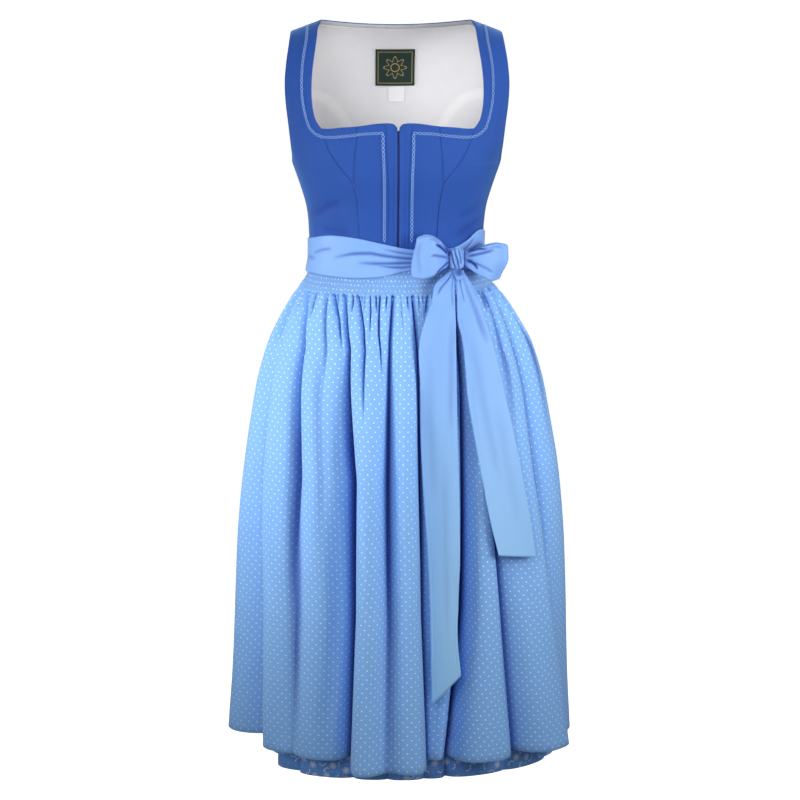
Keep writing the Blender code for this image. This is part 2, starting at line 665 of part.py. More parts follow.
def make_sash():
    start, end = KNOT_ANGLE + SASH_END_ANGLE, KNOT_ANGLE + 360 - SASH_END_ANGLE
    columns, rows = 44, 3
    points = [[sash_point(mix(start, end, i / columns), row / rows) for i in range(columns + 1)]
              for row in range(rows + 1)]
    cloth("sash_band", points, RIBBON_WALL, "sash_satin")


def make_loop(name, rows, outer_x):
    """A bow loop: a ribbon that leaves the knot, turns at its outer end and comes back."""
    front = [(row.along, row.depth - row.swell, row.top, row.bottom) for row in rows]
    back = [(row.along, row.depth + row.swell, row.top, row.bottom) for row in reversed(rows)]
    tip = rows[-1]
    turn = [(outer_x, tip.depth - tip.swell * 0.45, tip.top + 1, tip.bottom - 1),
            (outer_x, tip.depth + tip.swell * 0.45, tip.top + 1, tip.bottom - 1)]
    path = front + turn + back
    points = [[Vector((x, y, -mix(top, bottom, across))) for x, y, top, bottom in path]
              for across in (0, 0.33, 0.67, 1)]
    middle_x = (rows[1].along + outer_x) / 2
    cloth(name, points, RIBBON_WALL, "sash_satin",
          lambda point: Vector((middle_x * MM, rows[2].depth * MM, point.z)))


def make_tail(name, rows, point_drop):
    """A hanging end of the sash, a little crowned across, with a slanted cut end."""
    columns = 4
    points = []
    for index, row in enumerate(rows):
        line = []
        for i in range(columns + 1):
            u = i / columns
            x = mix(row.left, row.right, u)
            y = mix(row.y_left, row.y_right, u) - row.swell * math.sin(math.pi * u)
            slant = mix(max(point_drop, 0), max(-point_drop, 0), u) if index == len(rows) - 1 else 0
            line.append(Vector((x, y, -row.drop - slant)))
        points.append(line)
    cloth(name, points, RIBBON_WALL, "sash_satin", lambda point: Vector((point.x, 0, point.z)))


def make_knot():
    """The knot: a rounded pad, pinched a little at its sides."""
    knot = bmesh.new()
    bmesh.ops.create_icosphere(knot, subdivisions=2, radius=1)
    width, depth, height = KNOT_SIZE
    for vertex in knot.verts:
        x, y, z = vertex.co
        box = max(abs(x), abs(y), abs(z)) ** 0.35
        waist = 1 - 0.12 * (1 - z * z)
        vertex.co = Vector((KNOT_CENTRE[0] + x / box * waist * width / 2,
                            KNOT_CENTRE[1] + y / box * depth / 2,
                            -KNOT_CENTRE[2] + z / box * height / 2)) * MM
    add_mesh("bow_knot", knot, "sash_satin")


def make_under_loop():
    """The short fold of ribbon that shows under the knot."""
    left, right = UNDER_LOOP_X
    top, bottom = UNDER_LOOP_DROPS
    path = [(-101, top), (-109.5, mix(top, bottom, 0.5)), (-111, bottom)]
    points = [[Vector((mix(left, right, u), y - 1.5 * math.sin(math.pi * u), -drop)) for u in (0, 0.5, 1)]
              for y, drop in path]
    cloth("bow_under_loop", points, RIBBON_WALL, "sash_satin")


clear_scene()
DRESS = bpy.data.collections.new("dirndl_dress")
bpy.context.scene.collection.children.link(DRESS)
MATERIALS = make_materials()
for SIDE, WORD in ((1, "left"), (-1, "right")):
    make_front(SIDE, WORD)
    make_braid(SIDE, WORD)
make_back()
make_labels()
make_zip()
make_skirts()
make_sash()
make_knot()
make_loop("bow_loop_right", RIGHT_LOOP, 18.0)
make_loop("bow_loop_left", LEFT_LOOP, 152.5)
make_tail("bow_tail_right", RIGHT_TAIL, RIGHT_TAIL_POINT)
make_tail("bow_tail_left", LEFT_TAIL, LEFT_TAIL_POINT)
make_under_loop()
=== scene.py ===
"""The looks of a sleeveless dirndl dress with an apron and a bow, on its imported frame.

The frame is in metres, +Z up, the dress's front to -Y and the wearer's left at +X. The cloth is worked
out in millimetres and degrees, from the same tables as the solids: a "drop" is a distance below the
shoulder line, and an angle runs round the body from 0 at the centre front through 90 at the side seam
at +X to 180 at the centre back.
"""
import math

import bpy
import numpy as np
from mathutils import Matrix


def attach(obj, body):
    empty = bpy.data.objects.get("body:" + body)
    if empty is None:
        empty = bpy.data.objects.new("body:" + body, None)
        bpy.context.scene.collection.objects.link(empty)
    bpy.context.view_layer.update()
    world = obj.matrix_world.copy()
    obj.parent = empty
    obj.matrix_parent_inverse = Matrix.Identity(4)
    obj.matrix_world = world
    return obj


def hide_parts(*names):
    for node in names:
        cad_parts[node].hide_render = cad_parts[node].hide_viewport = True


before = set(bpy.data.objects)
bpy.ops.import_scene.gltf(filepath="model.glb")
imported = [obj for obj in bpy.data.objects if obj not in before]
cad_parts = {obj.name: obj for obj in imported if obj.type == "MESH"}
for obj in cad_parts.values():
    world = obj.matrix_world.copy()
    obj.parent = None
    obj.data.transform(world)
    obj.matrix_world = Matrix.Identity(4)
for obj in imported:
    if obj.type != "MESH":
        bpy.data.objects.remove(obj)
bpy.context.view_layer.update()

MM = 0.001
HORIZONTAL = np.array([1, 1, 0])            # keeps only the level part of a direction

# ---------------------------------------------------------------- driving sizes, mm
WAIST_DROP = 336.0
APRON_TOP_DROP = 340.0
APRON_HEM_DROP = 1030.0
SKIRT_HEM_DROP = 1065.0
APRON_EDGE_ANGLE = 98.0
BODICE_WALL = 1.5
LINING_GAP = 2.7
TORSO_POWER = 2.4
SHOULDER_INNER = 105.0
SHOULDER_OUTER = 148.0
SHOULDER_SLOPE = 16.0
SHOULDER_FADE = 100.0
UNDERARM_DROP = 197.0
DART_POINT_DROP = 222.0
BACK_SEAM_DROP = 94.0
CREST_DROP = 0.00002
BACK_NECK_DROP = 7.2
ZIP_HALF_GAP = 1.3
FLOOR_DROP = 1400.0         # the floor that the wearer stands on

# ---------------------------------------------------------------- tables of the frame's form
TORSO_ROWS = [  # drop, half_width, front, back
    (0, 200, 0, 0),
    (3, 199, 18, 30),
    (10, 197, 34, 48),
    (25, 193, 52, 66),
    (50, 187, 72, 83),
    (85, 178, 92, 95),
    (120, 168, 105, 99),
    (150, 160, 113, 99),
    (180, 152, 119, 97),
    (200, 146.5, 120, 95),
    (220, 139.5, 117, 92.5),
    (240, 133, 111, 90),
    (258, 128, 106, 87.5),
    (276, 125.5, 102, 86),
    (300, 124, 99, 85.5),
    (336, 122.5, 98, 86),
]
NECK_SIDE = [(0, 105.3), (5, 108.5), (20, 111), (38, 113.4), (60, 116.5), (89, 118.8), (108, 118.5),
             (124, 116.5), (136, 112.8), (143, 107.8), (146, 104.5)]
CURVED_SEAM = [(146, 104.5), (160, 100.3), (176, 95), (190, 86.5), (204, 75.5), (213, 67.6), (222, 61.5)]
MERGED_SEAM = [(222, 61.5), (240, 58.3), (265, 55.3), (295, 54), (336, 52.5)]
STRAIGHT_SEAM = [(142, 56.5), (162, 57.6), (180, 59.6), (205, 60.9), (222, 61.5)]
PLACKET_SEAM = [(138, 17.4), (172, 17.2), (210, 15.6), (336, 15.2)]
ARMHOLE = [(0, 148), (25, 150.5), (55, 154), (90, 156.3), (116, 155), (140, 152.3), (170, 149.2),
           (188, 147.2), (197, 147.3)]
BACK_SEAM = [(94, 152.6), (104, 107), (118, 86), (133, 73), (151, 63), (180, 57), (220, 53),
             (270, 50), (336, 47)]
NECK_FRONT = [(1.3, 144.5), (4.5, 140.2), (10, 138.2), (17.3, 137.9), (28, 138.4), (45, 140.8),
              (56.5, 142.3), (78, 144.2), (97, 146.2), (104.5, 146)]
BRAID_PATH = [  # distance from centre, drop
    (123.2, 1.5), (123.5, 5), (124.2, 12), (125.2, 24), (128, 41), (130.4, 60), (131.5, 82), (130.8, 104),
    (128.7, 118), (125.6, 132), (121.1, 145.4), (113.3, 153.3), (103.5, 157.7), (89, 157.8), (69.6, 155.8),
    (47.8, 152.9), (20.9, 151.5), (20.9, 172), (19.2, 210), (18.9, 251), (18.8, 302)]

SKIRT_RINGS = [  # drop, half_width, front, back
    (336, 121.5, 97, 85.5),
    (352, 122.6, 98.5, 87.5),
    (370, 129.5, 105, 96),
    (390, 140, 109, 103),
    (430, 156, 115, 113),
    (500, 176, 121, 125),
    (560, 186, 125, 133),
    (640, 199, 129, 140),
    (720, 208, 132, 146),
    (810, 215, 135, 151),
    (900, 221, 137, 155),
    (1030, 229, 138, 159),
    (1065, 230, 138, 160),
]
APRON_LIFT = [(340, 3.0), (352, 3.0), (372, 4.5), (400, 7.0), (1030, 7.0)]
FOLD_HEIGHTS = (370, 450, 630, 820, 1030)
# gather upper mid low hem: the valley's angle at each height; floor_mid floor_hem; ridge_upper
# ridge_mid ridge_hem; lean
APRON_FOLDS = [
    (-98, -100, -107, -113, -120, 0, 0, 8, 7, 13, -0.10),
    (-80, -72, -67, -64, -62, -14, -45, 6, 12, 16, 0.22),
    (-62, -50, -42, -39, -38, 3, 14, 6, 15, 27, 0.0),
    (-33, -24, -16.6, -15.3, -15.8, 0, 0, 9, 45, 86, -0.10),
    (-4.5, -4.2, -4.3, -3.5, -4, 14, 66, 9, 40, 76, 0.05),
    (8, 9, 8, 7.8, 9, 0, 8, 4, 10, 18, 0.0),
    (34, 30, 26.5, 24, 17, 0, -2, 7, 25, 44, 0.05),
    (50, 42, 36, 38.5, 41.5, 3, 10, 9, 22, 50, 0.10),
    (72, 68, 64, 66, 70, 3, 6, 19, 21, 21, 0.05),
    (98, 98, 99, 100, 101, 0, 0, 0, 0, 0, 0.0),
]
SKIRT_FOLDS = [
    (-98, -98, -98, -98, -98, -16, -44, -1, -16, -46, 0.0),
    (-80, -72, -67, -64, -62, -20, -60, -1, -6, -8, 0.22),
    (-62, -50, -42, -39, -38, -2, -2, 1, 3, 4, 0.0),
    (-33, -25, -18, -16.5, -16.5, -2, -3, 1, 4, 5, 0.0),
    (-4.5, -4.2, -4.3, -3.5, -4, -2, 0, 1, 3, 6, 0.0),
    (8, 9, 8, 7.8, 9, -1, 0, 1, 2, 3, 0.0),
    (34, 30, 26.5, 24, 17, -3, -6, 1, 4, 5, 0.0),
    (50, 42, 36, 38.5, 41.5, -1, 0, 1, 4, 5, 0.0),
    (72, 68, 64, 66, 70, 0, 0, 1, 3, 4, 0.0),
    (98, 98, 98, 98, 98, -1, -4, 1, 3, 6, 0.0),
    (108, 109, 110, 111, 111, 0, 0, 7, 14, 32, 0.0),
    (121, 122, 124, 125, 126, -2, -5, 9, 22, 48, 0.05),
    (137, 138, 141, 143, 144, 1, 3, 6, 13, 26, 0.0),
    (149, 151, 154, 157, 158, 0, -3, 9, 24, 52, -0.05),
    (164, 166, 169, 171, 173, 2, 4, 7, 15, 30, 0.0),
    (177, 179, 181, 183, 185, 0, 0, 9, 23, 47, 0.05),
    (191, 192, 195, 197, 199, 1, 2, 6, 12, 25, 0.0),
    (206, 207, 209, 211, 214, -2, -4, 9, 25, 52, 0.0),
    (222, 222, 223, 224, 226, 2, 3, 6, 14, 31, -0.05),
    (236, 235, 235, 235, 236, -5, -14, 1, -3, -12, -0.1),
    (250, 249, 248, 247, 246, -14, -38, 0, -14, -38, 0.0),
    (262, 262, 262, 262, 262, -16, -44, -1, -16, -46, 0.0),
]
GATHER_RIDGE_SHARE = 0.35
SASH_CLEAR = (357.0, 378.0)
GATHER_PITCH = 5.6
SASH_RINGS = [(286, 127.0, 102.8, 88.0), (300, 126.3, 101.6, 87.8), (320, 126.2, 101.6, 88.3),
              (340, 127.8, 103.6, 90.2), (356, 130.5, 106.4, 93.8)]
SASH_EDGES = [  # angle, top_drop, bottom_drop
    (-180, 303, 350), (-120, 305, 352), (-90, 306, 353), (-70, 301, 350), (-47, 295, 351),
    (-25, 298, 352), (-10, 304.5, 349.5), (8, 312, 341), (25, 312, 340), (39, 311, 339),
    (50, 303, 342), (62, 292, 348), (90, 296, 352), (130, 301, 351), (180, 303, 350)]
KNOT_ANGLE = 38.5


# ---------------------------------------------------------------- curves through short tables
def curve(rows, warp=lambda key: key):
    """A smooth curve through a table: a function from keys to the row's other columns."""
    table = np.array(rows, float)
    keys, values = warp(table[:, 0]), table[:, 1:]
    slopes = np.gradient(values, keys, axis=0)

    def at(key):
        place = warp(np.asarray(key, float))
        i = np.clip(np.searchsorted(keys, place, side="right") - 1, 0, len(keys) - 2)
        step = (keys[i + 1] - keys[i])[..., None]
        t = np.clip((place - keys[i])[..., None] / step, 0.0, 1.0)
        rise = t * t * (3 - 2 * t)
        value = values[i] * (1 - rise) + values[i + 1] * rise
        value = value + step * t * (1 - t) * ((1 - t) * slopes[i] - t * slopes[i + 1])
        return value[..., 0] if value.shape[-1] == 1 else np.moveaxis(value, -1, 0)

    return at


def root(drop):
    return np.sqrt(np.maximum(drop, 0.0))


def mix(a, b, t):
    """From a at 0 to b at 1."""
    return a + (b - a) * t


def smoothstep(low, high, value):
    """0 up to the low value and 1 from the high value on, with a soft rise between them."""
    t = np.clip((value - low) / (high - low), 0.0, 1.0)
    return t * t * (3 - 2 * t)


torso_section = curve(TORSO_ROWS, root)
neck_side = curve(NECK_SIDE)
curved_seam = curve(CURVED_SEAM)
merged_seam = curve(MERGED_SEAM)
straight_seam = curve(STRAIGHT_SEAM)
placket_seam = curve(PLACKET_SEAM)
armhole = curve(ARMHOLE)
back_seam = curve(BACK_SEAM)
neck_front = curve(NECK_FRONT)
skirt_ring = curve(SKIRT_RINGS)
apron_lift = curve(APRON_LIFT)
sash_ring = curve(SASH_RINGS)
sash_edge = curve(SASH_EDGES)


# ---------------------------------------------------------------- building meshes
def grid_normals(points):
    """Unit normals of a grid of points (rows, columns, 3)."""
    normal = np.cross(np.gradient(points, axis=0), np.gradient(points, axis=1))
    return normal / np.maximum(np.linalg.norm(normal, axis=-1, keepdims=True), 1e-9)


def arc_length(points, axis):
    """Distance along the grid's rows (axis 1) or columns (axis 0), starting at 0."""
    total = np.cumsum(np.linalg.norm(np.diff(points, axis=axis), axis=-1), axis=axis)
    return np.pad(total, [(1, 0), (0, 0)] if axis == 0 else [(0, 0), (1, 0)])


def measured_grid(points):
    """Cloth coordinates in mm measured along the surface from the grid's middle column."""
    across = arc_length(points, 1)
    across = across - across[:, across.shape[1] // 2][:, None]
    return np.stack([across, -arc_length(points, 0)], -1)


def select_only(*pieces):
    bpy.ops.object.select_all(action="DESELECT")
    for piece in pieces:
        piece.select_set(True)
    if pieces:
        bpy.context.view_layer.objects.active = pieces[0]


def new_piece(name):
    """The piece that was just made, under its name."""
    piece = bpy.context.object
    piece.name = piece.data.name = name
    return piece


def read(items, field, kind, size=1):
    """A field of all of a mesh's vertices, loops or polygons."""
    values = np.zeros(len(items) * size, kind)
    items.foreach_get(field, values)
    return values if size == 1 else values.reshape(-1, size)


def write(items, field, values):
    items.foreach_set(field, np.asarray(values).astype(np.float32).ravel())


def set_cloth_map(mesh, places):
    """The UV map in metres of cloth, from a place in mm for each corner."""
    mesh.uv_layers[0].name = "cloth"
    write(mesh.uv_layers["cloth"].data, "uv", places * MM)


def set_mark(mesh, mark, values, domain="POINT"):
    """A value per point or per corner that the finish reads."""
    write(mesh.attributes.new(mark, "FLOAT", domain).data, "value", values)


def smooth(mesh):
    mesh.polygons.foreach_set("use_smooth", np.ones(len(mesh.polygons), bool))


def sheet(name, points, uv, material, axis=(0.0, 0.0), marks=None):
    """A single sheet of cloth from a grid of points in mm, its UV map in metres of cloth.

    Its faces look away from a vertical axis. The marks are values per point that its finish reads.
    """
    rows, columns = points.shape[:2]
    select_only()
    bpy.ops.mesh.primitive_grid_add(x_subdivisions=columns - 1, y_subdivisions=rows - 1, size=1)
    piece = new_piece(name)
    mesh = piece.data
    write(mesh.vertices, "co", points * MM)
    set_cloth_map(mesh, uv.reshape(-1, 2)[read(mesh.loops, "vertex_index", np.int32)])
    mesh.update()
    facing = read(mesh.polygons, "normal", np.float32, 3)[:, :2]
    away = read(mesh.polygons, "center", np.float32, 3)[:, :2] - np.array(axis) * MM
    if (facing * away).sum() < 0:
        mesh.flip_normals()
    smooth(mesh)
    mesh.materials.append(material)
    for mark, values in (marks or {}).items():
        set_mark(mesh, mark, values)
    return piece


def wall(piece, thickness, inner_material=None):
    """Gives a sheet its thickness inwards, with a lining on its inner face if one is named."""
    select_only(piece)
    solidify = piece.modifiers.new("wall", "SOLIDIFY")
    solidify.thickness = thickness * MM
    solidify.offset = -1
    solidify.use_quality_normals = True
    if inner_material:
        piece.data.materials.append(inner_material)
        solidify.material_offset = 1
    bpy.ops.object.modifier_apply(modifier="wall")
    return piece


LEAST_AREA_SHARE = 0.31         # a pointed piece fills at least this share of its width times length


def finish_piece(piece, slot, *nodes):
    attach(piece, "root")
    if nodes:
        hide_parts(*nodes)


def finish_cloth(piece, slot, node, points):
    """Finishes a smooth piece of cloth and works out its flat size, measured along the piece itself, which
    is not used further.
    """
    finish_piece(piece, slot, node)
    width = float(arc_length(points, 1)[:, -1].max()) * MM
    length = float(arc_length(points, 0)[-1, :].max()) * MM
    down, across = np.diff(points, axis=0)[:, :-1], np.diff(points, axis=1)[:-1, :]
    area = float(np.linalg.norm(np.cross(down, across), axis=-1).sum()) * MM * MM
    area = min(max(area, LEAST_AREA_SHARE * width * length), width * length)


# ---------------------------------------------------------------- the bodice's surface
# Soft creases in the bodice: where each starts and ends (x, drop), its half width and its depth.
FRONT_CREASES = [
    (-126, 282, -106, 259, 5, -1.6),
    (-112, 264, -76, 242, 5.5, -1.9),
    (-110, 285, -64, 293, 5, -1.7),
    (-100, 276, -60, 262, 9, 0.8),
    (-100, 222, -40, 214, 14, 0.9),
    (121, 270, 78, 300, 5.5, -2.6),
    (124, 284, 92, 306, 5, -2.0),
    (118, 252, 84, 272, 5, -1.7),
    (112, 208, 58, 214, 14, 0.8),
    (-140, 168, -122, 206, 7, -0.7),
    (139, 170, 121, 204, 7, -0.7),
    (-132, 128, -118, 146, 8, -0.5),
]
BACK_CREASES = [
    (-112, 268, -40, 284, 8, -1.0),
    (-30, 296, 70, 288, 9, -1.1),
    (40, 262, 108, 250, 8, -0.8),
    (-100, 236, -62, 246, 7, -0.6),
    (-126, 112, -96, 150, 9, -0.8),
    (124, 108, 98, 152, 9, -0.8),
    (-60, 60, 40, 70, 16, 0.8),
]


CREASE_HALF_LENGTH = 0.42       # as a share of the distance between its two ends


def crease_lift(table, x, drop):
    """Height of the soft creases at a place of the bodice, each a trough along a line."""
    lift = np.zeros(np.broadcast(x, drop).shape)
    for x0, drop0, x1, drop1, half_width, depth in table:
        dx, dd = x1 - x0, drop1 - drop0
        length = math.hypot(dx, dd)
        along = ((x - x0) * dx + (drop - drop0) * dd) / length ** 2
        off = ((x - x0) * dd - (drop - drop0) * dx) / length
        fade = np.exp(-((along - 0.5) / CREASE_HALF_LENGTH) ** 4)
        lift += depth * np.exp(-(off / half_width) ** 2) * fade
    return lift


def torso_point(angle, drop):
    angle, drop = np.broadcast_arrays(np.asarray(angle, float), np.asarray(drop, float))
    half, front, back = torso_section(drop)
    across = np.sin(np.radians(angle))
    depth = (1 - np.minimum(abs(across), 1.0) ** TORSO_POWER) ** (1 / TORSO_POWER)
    y = np.where(np.cos(np.radians(angle)) >= 0, -front, back) * depth
    x = half * across
    outward = np.clip((abs(x) - SHOULDER_INNER) / (SHOULDER_OUTER - SHOULDER_INNER), 0.0, 1.2)
    fade = np.maximum(1 - drop / SHOULDER_FADE, 0.0) ** 2
    return np.stack([x, y, -drop - SHOULDER_SLOPE * outward * fade], -1)


def torso_normal(angle, drop):
    low = np.maximum(drop - 1.0, 0.02)
    round_body = torso_point(angle + 0.5, drop) - torso_point(angle - 0.5, drop)
    downwards = torso_point(angle, drop + 1.0) - torso_point(angle, low)
    normal = np.cross(downwards, round_body)
    return normal / np.linalg.norm(normal, axis=-1, keepdims=True)


def torso_angle(x, drop, behind=False):
    half = torso_section(drop)[0]
    angle = np.degrees(np.arcsin(np.clip(x / half, -1.0, 1.0)))
    return 180 - angle if behind else angle


# ---------------------------------------------------------------- bodice panels
EDGE_STEPS = (0.0, 0.5, 1.1, 1.9, 3.0)     # columns and rows gather at a panel's turned edges
SEAM_DIP, HEM_DIP, DIP_REACH = 0.75, 1.1, 2.2
GROOVE_DEPTH, GROOVE_HALF_WIDTH, GROOVE_MARK = 0.5, 0.8, 0.25
FULL_CREASE = 2.4           # a crease this deep gets the full painted shade
UNSEWN = 9.0                # the distance from a seam that is stated where there is none
ROW_STEP, BLEND_STEP, LEAST_BLEND, FIRST_ROW_GAP, FLAT_BELOW_EDGE = 3.6, 3.0, 12.0, 2.0, 6
LINING_WALL = 0.8
PLACKET_STITCH = {"left": 10.0, "right": -6.4}      # the stitched line down each placket
CURVED_SEAM_TOP, SEWN_FROM = 146.0, 147.0
BACK_FLAT_DROP, BACK_WIDTH = 62.0, 300
LINING_INSET, LINING_NECK_GAP = 1.0, 3.0
# The allowance of the back's seams: where it begins and ends beside the seam, and how proud it stands.
ALLOWANCE_START, ALLOWANCE_END, ALLOWANCE_LIFT = (-2.5, 2.0), (11.0, 16.0), 0.4
BEYOND_BACK = 400.0


def spaced(width, step):
    """Shares of a width, close together at both ends and a step apart between them."""
    ends = np.array(EDGE_STEPS)
    ends = ends[ends < width / 2]
    count = max(2, int(round((width - 2 * ends[-1]) / step)))
    middle = np.linspace(ends[-1], width - ends[-1], count + 1)[1:-1]
    return np.concatenate([ends, middle, (width - ends)[::-1]]) / width


def panel_rows(first, flat, bottom):
    """Drops of a panel's rows: they follow its upper edge at first, and run level from the flat drop on."""
    blend = spaced(max(flat - float(first.min()), LEAST_BLEND), BLEND_STEP)[:-1, None]
    below = flat + (bottom - flat) * spaced(bottom - flat, ROW_STEP)[:, None]
    below = below[below[:, 0] > flat + FIRST_ROW_GAP]
    return np.concatenate([first + (flat - first) * blend, below + 0 * first], 0)


def panel(edge_a, edge_b, top, width, bottom=WAIST_DROP, behind=False, lift=0.0, flat_drop=None,
          step=ROW_STEP, dips=(True, True, True), creased=True, seams=(True, True), groove=None,
          sewn_from=0.0):
    """A bodice piece between two cut lines, which give their distance from the centre at a drop."""
    u = spaced(width, step)[None, :]
    first = top(u)
    flat = float(first.max()) + FLAT_BELOW_EDGE if flat_drop is None else flat_drop
    drop = panel_rows(first, flat, bottom)
    angle = mix(torso_angle(edge_a(drop), drop, behind), torso_angle(edge_b(drop), drop, behind), u)
    points = torso_point(angle, drop)
    creases = np.zeros_like(drop)
    if creased:
        creases = crease_lift(BACK_CREASES if behind else FRONT_CREASES, points[..., 0], drop)
    from_a = arc_length(points, 1)
    from_b = from_a[:, -1:] - from_a
    dip = np.zeros_like(drop)
    for on, distance, depth in zip(dips, (from_a, from_b, drop - first), (SEAM_DIP, SEAM_DIP, HEM_DIP)):
        if on:
            dip = np.maximum(dip, depth * (1 - smoothstep(0, DIP_REACH, distance)))
    height = creases + lift - dip
    stitched = np.full(drop.shape, UNSEWN)
    for on, distance in zip(seams, (from_a, from_b)):
        if on:
            stitched = np.minimum(stitched, distance)
    stitched = np.where(drop > sewn_from, stitched, UNSEWN)
    if groove is not None:
        beside = abs(mix(edge_a(drop), edge_b(drop), u) - groove)
        height = height - GROOVE_DEPTH * np.exp(-(beside / GROOVE_HALF_WIDTH) ** 2)
        stitched = np.minimum(stitched, beside + GROOVE_MARK)
    points = points + torso_normal(angle, drop) * height[..., None]
    # The second mark paints shade into the bodice's soft creases.
    marks = {"from_seam": stitched, "fold_shade": np.clip(-creases / FULL_CREASE, 0.0, 1.0)}
    return points, measured_grid(points), marks


def side_edge(drop):
    return np.where(drop < UNDERARM_DROP, armhole(drop), torso_section(drop)[0])


def front_inner_edge(drop):
    seam = np.where(drop <= DART_POINT_DROP, curved_seam(drop), merged_seam(drop))
    return np.where(drop < CURVED_SEAM_TOP, neck_side(drop), seam)


def center_outer_edge(drop):
    return np.where(drop <= DART_POINT_DROP, straight_seam(drop), merged_seam(drop))


def back_outer_edge(drop):
    return np.where(drop < BACK_SEAM_DROP, armhole(drop), back_seam(drop))


def signed(edge, side):
    return lambda drop: side * edge(drop)


def neck_edge(inner, outer):
    return lambda u: neck_front(mix(inner, outer, u))


def level(drop):
    return lambda u: drop + 0 * u


def back_top(u):
    widest = math.asin(SHOULDER_OUTER / TORSO_ROWS[0][1])
    x = TORSO_ROWS[0][1] * np.sin(mix(-widest, widest, u))
    return CREST_DROP + BACK_NECK_DROP * np.maximum(1 - (x / SHOULDER_INNER) ** 2, 0.0)


def make_twill_piece(node, grid):
    points, uv, marks = grid
    piece = wall(sheet(node + "_cloth", points, uv, TWILL, marks=marks), BODICE_WALL, LINING)
    finish_cloth(piece, "bodice_twill", node, points)


def make_front(side, word):
    zip_edge, placket, straight = (signed(edge, side) for edge in (level(ZIP_HALF_GAP), placket_seam,
                                                                   straight_seam))
    curved = signed(lambda drop: curved_seam(np.maximum(drop, CURVED_SEAM_TOP)), side)
    make_twill_piece("placket_" + word, panel(
        zip_edge, placket, neck_edge(1.3, 17.3), 16, step=0.9, seams=(False, False),
        groove=PLACKET_STITCH[word]))
    make_twill_piece("front_center_" + word, panel(
        placket, signed(center_outer_edge, side), neck_edge(17.5, 56.3), 40, seams=(False, True)))
    make_twill_piece("bust_wedge_" + word, panel(
        straight, curved, neck_edge(56.7, 104.3), 44, DART_POINT_DROP - 0.4))
    make_twill_piece("side_front_" + word, panel(
        signed(front_inner_edge, side), signed(side_edge, side), level(CREST_DROP), 62, flat_drop=4.0,
        dips=(True, True, False), seams=(True, False), sewn_from=SEWN_FROM))


def make_back():
    points, uv, marks = panel(
        signed(back_outer_edge, -1), signed(back_outer_edge, 1), back_top, BACK_WIDTH, behind=True,
        flat_drop=BACK_FLAT_DROP, step=3.0, dips=(True, True, False))
    marks["from_seam"] = np.where(-points[..., 2] > BACK_SEAM_DROP, marks["from_seam"], UNSEWN)
    make_twill_piece("back_center", (points, uv, marks))

    right, left = (signed(lambda drop: side_edge(drop) - LINING_INSET, side) for side in (-1, 1))
    points, uv, _ = panel(
        right, left, lambda u: back_top(u) + LINING_NECK_GAP, BACK_WIDTH, behind=True,
        flat_drop=BACK_FLAT_DROP, step=2.8, lift=-(BODICE_WALL + LINING_GAP), dips=(False,) * 3,
        creased=False)
    band = raise_seam_allowance(points)
    piece = wall(sheet("lining_back_cloth", points, uv, LINING, marks={"doubled": band}), LINING_WALL)
    finish_cloth(piece, "lining_white", "lining_back", points)

    for side, word in ((1, "left"), (-1, "right")):
        make_twill_piece("side_back_" + word, panel(
            signed(back_seam, side), signed(side_edge, side), level(BACK_SEAM_DROP), 80, behind=True,
            flat_drop=97.0, seams=(True, False)))


def raise_seam_allowance(points):
    """The back's curved seams press through the lining as a band that stands a little proud."""
    drops = np.linspace(BACK_SEAM_DROP, WAIST_DROP, 150)
    seam = np.stack([back_seam(drops), -drops], -1)
    across, drop = abs(points[..., 0]), -points[..., 2]
    from_seam = np.linalg.norm(np.stack([across, -drop], -1)[..., None, :] - seam, axis=-1).min(-1)
    outside = across > np.where(drop > BACK_SEAM_DROP, back_seam(drop), BEYOND_BACK)
    from_seam = np.where(outside, from_seam, -from_seam)
    band = smoothstep(*ALLOWANCE_START, from_seam) * (1 - smoothstep(*ALLOWANCE_END, from_seam))
    normal = grid_normals(points)
    facing_in = np.where((normal * points * HORIZONTAL).sum(-1, keepdims=True) > 0, -1.0, 1.0)
    points += normal * facing_in * (ALLOWANCE_LIFT * band)[..., None]
    return band


# ---------------------------------------------------------------- skirt and apron surfaces
def at_heights(values, drop):
    return float(np.interp(drop, FOLD_HEIGHTS, values))


def grown(at_upper, at_mid, at_hem, drop):
    values = (GATHER_RIDGE_SHARE * at_upper, at_upper, at_mid, (at_mid + at_hem) / 2, at_hem)
    return at_heights(values, drop) * float(smoothstep(*SASH_CLEAR, drop))


# How upright each ridge of the apron stands at its own two sides: above 1 it leans over the valley.
APRON_FLANKS = [(0.6, 0.3), (1.2, 0.7), (0.6, 0.35), (0.9, 1.0), (0.5, 0.8), (0.8, 0.6), (1.15, 0.6),
                (0.8, 0.5), (1.1, 0.6)]
SKIRT_FLANKS = [(0.8, 0.8)] * 21
FLANK_DROPS = (370.0, 520.0)
HEM_SQUARENESS = 1.35                       # towards the hem the folds are flatter in front
SQUARE_DROPS = (740, 1000)


